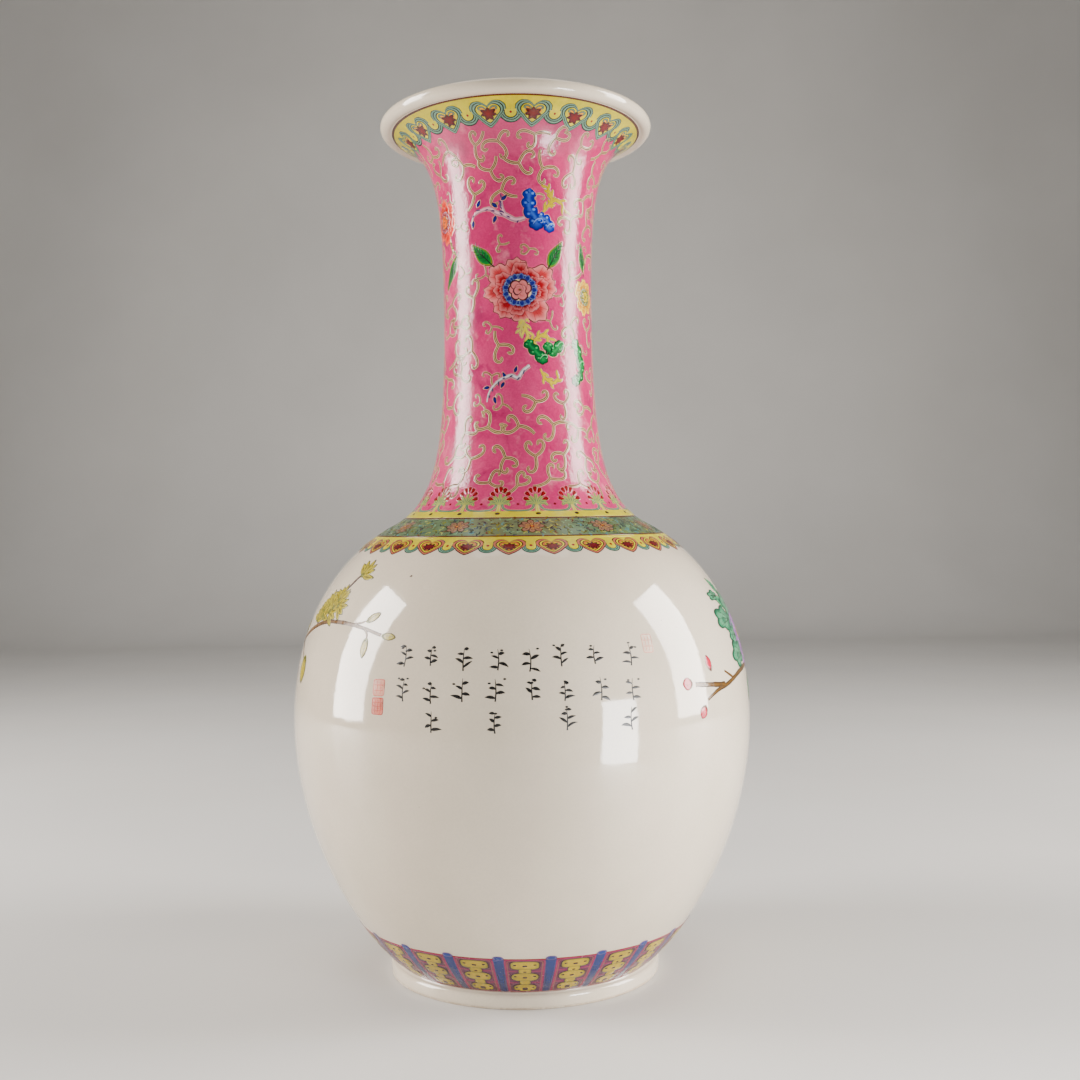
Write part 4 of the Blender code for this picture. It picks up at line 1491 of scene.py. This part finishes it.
def leafy(p, points, anchor, rng, spacing, length, skip=0.0):
    """Leaves and buds on short stalks, alternating along a branch."""
    path = smooth_path(flat(points, *anchor), 60)
    run = float(np.hypot(*np.diff(path, axis=0).T).sum())
    d = Drawing()
    side = 1
    for k in range(1, int(run / spacing)):
        at = round(59 * (skip + (1 - skip) * k * spacing / run))
        if at > 58:
            break
        facing = facing_at(path, at) + side * rng.uniform(38, 68)
        stalk = curl_path(path[at], facing, rng.uniform(3.5, 6), side * 12, 0, 8)
        d.ribbon(
            stalk, tapered(8, 0.6, 0.5, 0.3),
            [(0, OLIVE, 0.05), (0.6, OLIVE * 0.7, 0.05), (1, BROWN * 0.5, -0.02)], 0.03
        )
        if k % 3 == 2:
            d.placed(bud(6.4, 4.4, paint(246, 150, 150), paint(200, 50, 80)), stalk[-1], facing, base=0.02)
        else:
            size = length * rng.uniform(0.8, 1.1)
            d.placed(
                painted_leaf(size, size * 0.58, rng, folds=4), stalk[-1], facing + rng.uniform(-10, 10),
                base=0.02
            )
        side = -side
    put_at(p, d, *anchor)


def back_painting():
    """The flowering tree on the far side, which carries both side branches."""
    rng = random.Random(8)
    p = Piece()
    anchor = (180, 140)
    trunk = [
        (222, 29), (214, 40), (205, 58), (193, 74), (183, 90), (178, 108), (184, 124), (196, 138),
        (214, 148), (232, 150), (248, 150)
    ]
    limbs = (
        ([(180, 100), (168, 112), (154, 118), (142, 126), (130, 134), (117.4, 140.3)], 6.5, 90, 0.6),
        ([(186, 128), (180, 146), (170, 160), (164, 178), (158, 192)], 4.6, 70),
        ([(168, 163), (152, 168), (138, 180), (128, 184)], 3.0, 50),
        ([(196, 138), (200, 158), (212, 172), (222, 188)], 3.8, 60),
    )
    for points, *_ in limbs:
        leafy(p, points, anchor, rng, 14.5, 22, 0.12)
    leafy(p, trunk, anchor, rng, 17, 25, 0.34)
    shoot(p, anchor, rng, trunk, 11, 130, 0.3)
    for points, *style in limbs:
        shoot(p, anchor, rng, points, *style)
    for angle, height, facing, length, width in (
        (166, 130, 200, 30, 19), (190, 120, 330, 32, 19), (197, 152, 20, 26, 16), (164, 150, 160, 28, 17),
        (214, 160, 320, 22, 14),
        (150, 132, 250, 22, 14), (140, 152, 170, 22, 13), (180, 160, 100, 26, 16),
    ):
        put_at(p, painted_leaf(length, width, rng, folds=4), angle, height, turn=facing)
    for angle, height, size, deep, pale in (
        (176, 138, 54, paint(220, 50, 100), paint(252, 200, 205)),
        (148, 148, 40, paint(120, 60, 170), paint(228, 204, 236)),
        (208, 156, 42, paint(224, 110, 40), paint(252, 226, 150)),
        (160, 190, 26, paint(220, 60, 90), paint(252, 200, 205)),
        (128, 178, 28, paint(50, 90, 190), paint(206, 222, 244)),
    ):
        put_at(p, peony(rng, size, deep, pale), angle, height)
    for angle, height, facing in (
        (234, 156, 80), (244, 154, 110), (252, 152, 60), (222, 192, 100), (225, 189, 60), (219, 186, 140)
    ):
        put_at(p, ragged_blossom(rng, 12), angle, height, turn=facing)
    material = enamel_material("painting_back_enamel", 120, 0.82, 1.14, 600, (0.12, 0.3), 0.0002, 300)
    p.finish("painting_back", material, ENAMEL)


def ink_sprig(rng, size):
    """One small brushed sprig: a bent stem, tapered leaves to both sides and a few dots."""
    d = Drawing()
    ink = [(0, INK * 0.6, 0.05), (0.75, INK * 0.8, 0.045), (1, INK * 2, -0.01)]
    lean = rng.uniform(-12, 12)
    stem = curl_path((rng.uniform(-0.6, 0.6), -size * 0.46), 90 - lean, size * 0.88, lean * 2.4, 0, 16)
    d.ribbon(stem, tapered(16, 0.42, 0.34, 0.1, 0.2), ink)
    side = rng.choice((-1, 1))
    for k in range(rng.choice((4, 5))):
        at = stem[2 + 3 * k]
        length = size * rng.uniform(0.30, 0.46) * (1.1 - 0.12 * k)
        rise = rng.uniform(2, 52)
        facing = rise if side > 0 else 180 - rise
        path = curl_path(at, facing, length, -side * rng.uniform(20, 60), 0, 12)
        d.ribbon(
            path, tapered(12, 0.2, rng.uniform(0.56, 0.84), 0.06, rng.uniform(0.3, 0.55)), ink,
            0.012 * k + 0.01
        )
        side = -side
    for _ in range(rng.choice((1, 2))):
        at = (rng.uniform(-0.34, 0.34) * size, rng.uniform(0.16, 0.48) * size)
        d.disc(oval(1.5, 0.9, 12), [(0, INK * 0.6, 0.05), (0.7, INK, 0.04), (1, INK * 2, -0.01)], at, 0.05)
    return d


def ink_panel():
    """Eight short columns of brushed sprigs over the white front."""
    rng = random.Random(23)
    p = Piece()
    rows = (177.0, 162.0, 149.0)
    for column, angle in enumerate((24.6, 16.8, 9.3, 2.0, -5.5, -13.0, -20.2, -27.2)):
        for height in rows[: 3 if column % 2 == 0 else 2]:
            put_at(
                p, ink_sprig(rng, 11.2 * rng.uniform(0.86, 1.1)), angle + rng.uniform(-0.5, 0.5),
                height + rng.uniform(-1, 1)
            )
    material = enamel_material("ink", 200, 0.8, 1.2, 700, (0.25, 0.42), 0.0001, 500)
    p.finish("ink_sprigs", material, ENAMEL)


def lattice_seal(width, height, colour, ground, cells):
    """A red stamped ornament: a faint ground, a frame, and a plain crossing of bars."""
    d = Drawing()
    x, y = width / 2, height / 2
    d.disc(rounded_bar(width, height, 40, 7), [(0, ground, 0.03), (0.9, ground, 0.03), (1, ground, -0.01)])
    line = [(0, colour, 0.035), (0.7, colour, 0.03), (1, colour * 1.1, -0.01)]
    edge = rounded_bar(width, height, 48, 9)
    d.ribbon(np.concatenate([edge, edge[:2]]), 0.3, line, 0.04)
    for k in range(1, cells):
        across = -x + width * k / cells
        up = -y + height * k / cells
        d.ribbon(np.linspace((across, -y * 0.8), (across, y * 0.8), 6), 0.26, line, 0.04)
        d.ribbon(np.linspace((-x * 0.8, up), (x * 0.8, up), 6), 0.26, line, 0.05)
    return d


def seals():
    """Two red lattices at the left of the sprigs, and a faint one at their right."""
    p = Piece()
    put_at(p, lattice_seal(6.4, 7.4, paint(206, 104, 84), paint(216, 152, 130), 3), -33.8, 162.4)
    put_at(p, lattice_seal(6.4, 7.6, paint(190, 60, 36), paint(208, 112, 84), 4), -33.8, 153.8)
    put_at(p, lattice_seal(5.4, 9.0, paint(226, 170, 150), paint(228, 206, 186), 3), 30.5, 181.6)
    material = enamel_material("iron_red", 200, 0.85, 1.15, 700, (0.25, 0.4), 0.0001, 500)
    p.finish("lattice_seals", material, ENAMEL)


# ---- the foot border ----

def rounded_bar(width, height, count=28, power=3.2):
    angle = np.linspace(0, 2 * math.pi, count, endpoint=False)
    cos, sin = np.cos(angle), np.sin(angle)
    return np.stack([
        np.sign(cos) * np.abs(cos) ** (2 / power) * width / 2,
        np.sign(sin) * np.abs(sin) ** (2 / power) * height / 2
    ], 1)


def foot_panel():
    """One panel: stacked mustard lobes with dark dots on a plum field, inside two thin rosy lines."""
    d = Drawing()
    d.disc(
        rounded_bar(14.4, 29.0, 60, 9), [(0, PLUM, 0.02), (0.95, PLUM, 0.02), (1, PLUM, -0.01)],
        (0, 15.6), 0.07
    )
    for half, top, low, colour, width in (
        (7.5, 30.0, 1.4, MAGENTA * 0.42, 0.42), (6.8, 29.2, 2.0, MAUVE * 0.6, 0.26)
    ):
        corner = 1.0
        path = [(-half, low), (
            -half, 8
        ), (-half, 16), (-half, top - 5), (-half, top - corner), (-half + corner, top), (0, top),
                (
                    half - corner, top
                ), (half, top - corner), (half, top - 5), (half, 16), (half, 8), (half, low)]
        d.ribbon(
            smooth_path(path, 70), width, [(0, colour, 0.04), (0.7, colour, 0.04), (1, PLUM, -0.01)], 0.10
        )
    for side in (-1, 1):
        for y, long in ((21.4, 4.6), (11.3, 4.2)):
            path = np.linspace((side * 7.2, y), (side * (7.2 - long), y - 0.3), 8)
            d.ribbon(
                path, tapered(8, 0.8, 0.55, 0.2, 0.2),
                [(0, MAGENTA * 0.4, 0.04), (0.6, MAGENTA * 0.4, 0.04), (1, PLUM, -0.01)], 0.10
            )
    body = [
        (0, MUSTARD, 0.08), (0.6, MUSTARD, 0.08), (0.86, mixed(MUSTARD, OLIVE, 0.6), 0.07),
        (0.91, OUTLINE, 0.05), (1, OUTLINE, -0.01),
    ]
    lobes = (
        (rounded_bar(5.6, 4.6), 21.4), (rounded_bar(5.2, 4.4), 11.4), (rounded_bar(12.2, 6.6, 32, 4), 26.0),
        (rounded_bar(12.4, 7.6, 32, 2.6), 16.4), (rounded_bar(11.2, 7.8, 32, 2.6), 6.1),
    )
    for k, (outline, y) in enumerate(lobes):
        d.disc(outline, body, (0, y), 0.11 + 0.012 * k)
    dots = (
        (0, 25.6, 1.9, 1.2), (-3.9, 26.4, 1.2, 0.9), (3.9, 26.4, 1.2, 0.9), (0, 16.0, 1.9, 1.3),
        (-4.0, 17.0, 1.3, 1.1),
        (4.0, 17.0, 1.3, 1.1), (0, 20.9, 1.4, 0.8), (0, 5.0, 2.6, 3.0), (-3.8, 6.6, 1.2, 1.2),
        (3.8, 6.6, 1.2, 1.2),
        (-3.0, 3.6, 1.0, 0.9), (3.0, 3.6, 1.0, 0.9),
    )
    for x, y, wide, high in dots:
        d.disc(
            rounded_bar(wide, high, 16, 3.0),
            [(0, OUTLINE * 0.7, 0.03), (0.7, OUTLINE * 0.7, 0.03), (1, OUTLINE, 0)], (x, y), 0.25
        )
    return d


def foot_stripe():
    """The blue stripe between two panels: it narrows downwards, and its pale top rises above the line."""
    d = Drawing()
    path = np.linspace((0, 1.3), (0, 31.6), 20)
    d.ribbon(path, np.linspace(1.75, 2.15, 20), [
        (0, BLUE * 0.20, 0.08), (0.40, BLUE * 0.20, 0.08), (0.76, NAVY * 0.3, 0.07),
        (0.85, LILAC * 0.32, 0.06), (1, PLUM, -0.01),
    ], 0.09, fade=BLUE * 0.28)
    cap = rounded_bar(4.0, 3.2, 26, 2.6)
    d.disc(cap, [
        (0, BLUE * 0.34, 0.08), (0.6, BLUE * 0.38, 0.08), (0.85, LILAC * 0.42, 0.06),
        (1, LILAC * 0.5, -0.02)
    ], (0, 31.2), 0.13)
    return d


def foot_border():
    """Plum panels between blue stripes, round the foot."""
    p = Piece()
    p.band(*FOOT_BORDER, PLUM * 0.9, 0.06)
    p.band(0.1, 0.6, CRIMSON * 0.7, 0.09, edge=0.12)
    p.band(1.0, 1.7, CRIMSON * 0.7, 0.12, edge=0.15)
    p.band(30.0, 30.9, CRIMSON * 0.8, 0.12, edge=0.2)
    p.ring_of(foot_panel(), PANEL_COUNT, PANEL_TURN, 0.0)
    p.ring_of(foot_stripe(), PANEL_COUNT, PANEL_TURN + 180 / PANEL_COUNT, 0.0)
    material = enamel_material("foot_enamel", 70, 0.78, 1.14, 500, (0.12, 0.28), 0.0003, 240)
    p.finish("foot_border", material, ENAMEL)


# ---- floor, light and camera ----

def studio():
    """A pale floor that sweeps up behind, and soft lamps."""
    floor = mesh_object(
        "floor", [(-9, -9, 0), (9, -9, 0), (9, 2.4, 0), (-9, 2.4, 0)], np.array([[0, 1, 2], [0, 2, 3]])
    )
    floor.data.materials.append(matte_material("pale_floor", (0.58, 0.57, 0.55), (0.62, 0.61, 0.59), 3, 0.55))
    sweep_turns = np.linspace(0, math.pi / 2, 14)
    rows = [(2.4 + math.sin(t) * 0.5, 0.5 - math.cos(t) * 0.5) for t in sweep_turns] + [(2.9, 3.2)]
    places = [(x, y, z) for y, z in rows for x in (-9, 9)]
    wall = mesh_object("backdrop", places, grid_faces(len(rows), 2))
    wall.data.materials.append(floor.data.materials[0])

    world = bpy.data.worlds.new("studio")
    world.use_nodes = True
    world.node_tree.nodes["Background"].inputs["Color"].default_value = (1.0, 0.98, 0.95, 1)
    world.node_tree.nodes["Background"].inputs["Strength"].default_value = 0.21
    bpy.context.scene.world = world

    def softbox(name, azimuth, distance, height, size, power, target=0.22, colour=(1, 1, 1)):
        turn = math.radians(azimuth)
        place = Vector((math.sin(turn) * distance, -math.cos(turn) * distance, height))
        light = bpy.data.lights.new(name, "AREA")
        light.shape = "RECTANGLE"
        light.size, light.size_y = size
        light.energy = power
        light.color = colour
        obj = bpy.data.objects.new(name, light)
        obj.location = place
        obj.rotation_euler = (Vector((0, 0, target)) - place).to_track_quat("-Z", "Y").to_euler()
        bpy.context.scene.collection.objects.link(obj)

    softbox("softbox_left", -90, 1.5, 0.68, (0.62, 1.3), 66, colour=(1, 0.94, 0.88))
    softbox("softbox_right", 88, 1.5, 0.68, (0.62, 1.3), 66, colour=(1, 0.94, 0.88))
    softbox("softbox_low_right", 41.8, 0.565, 0.105, (0.16, 0.20), 3.0, 0.12)
    softbox("top", 180, 0.6, 2.4, (1.4, 1.4), 9)


def camera():
    """At the height of the belly, close in front, turned a touch to the right and tilted a touch."""
    place = Vector((0, -0.6977, 0.2263))
    yaw, pitch, roll = math.radians(0.88), math.radians(0.42), math.radians(-0.69)
    ahead = Vector((math.sin(yaw) * math.cos(pitch), math.cos(yaw) * math.cos(pitch), math.sin(pitch)))
    right = Vector((math.cos(yaw), -math.sin(yaw), 0))
    up = right.cross(ahead)
    tilted_right = right * math.cos(roll) + up * math.sin(roll)
    tilted_up = up * math.cos(roll) - right * math.sin(roll)
    data = bpy.data.cameras.new("camera")
    data.lens, data.sensor_width = 42.3, 36.0
    obj = bpy.data.objects.new("camera", data)
    turned = Matrix((tilted_right, tilted_up, -ahead)).transposed()
    obj.matrix_world = Matrix.Translation(place) @ turned.to_4x4()
    bpy.context.scene.collection.objects.link(obj)
    bpy.context.scene.camera = obj


glazed_body()
bare_rim()
rim_border()
collar_border()
brocade_diaper()
neck_painting()
left_branch()
right_branch()
back_painting()
ink_panel()
seals()
foot_border()
studio()
camera()
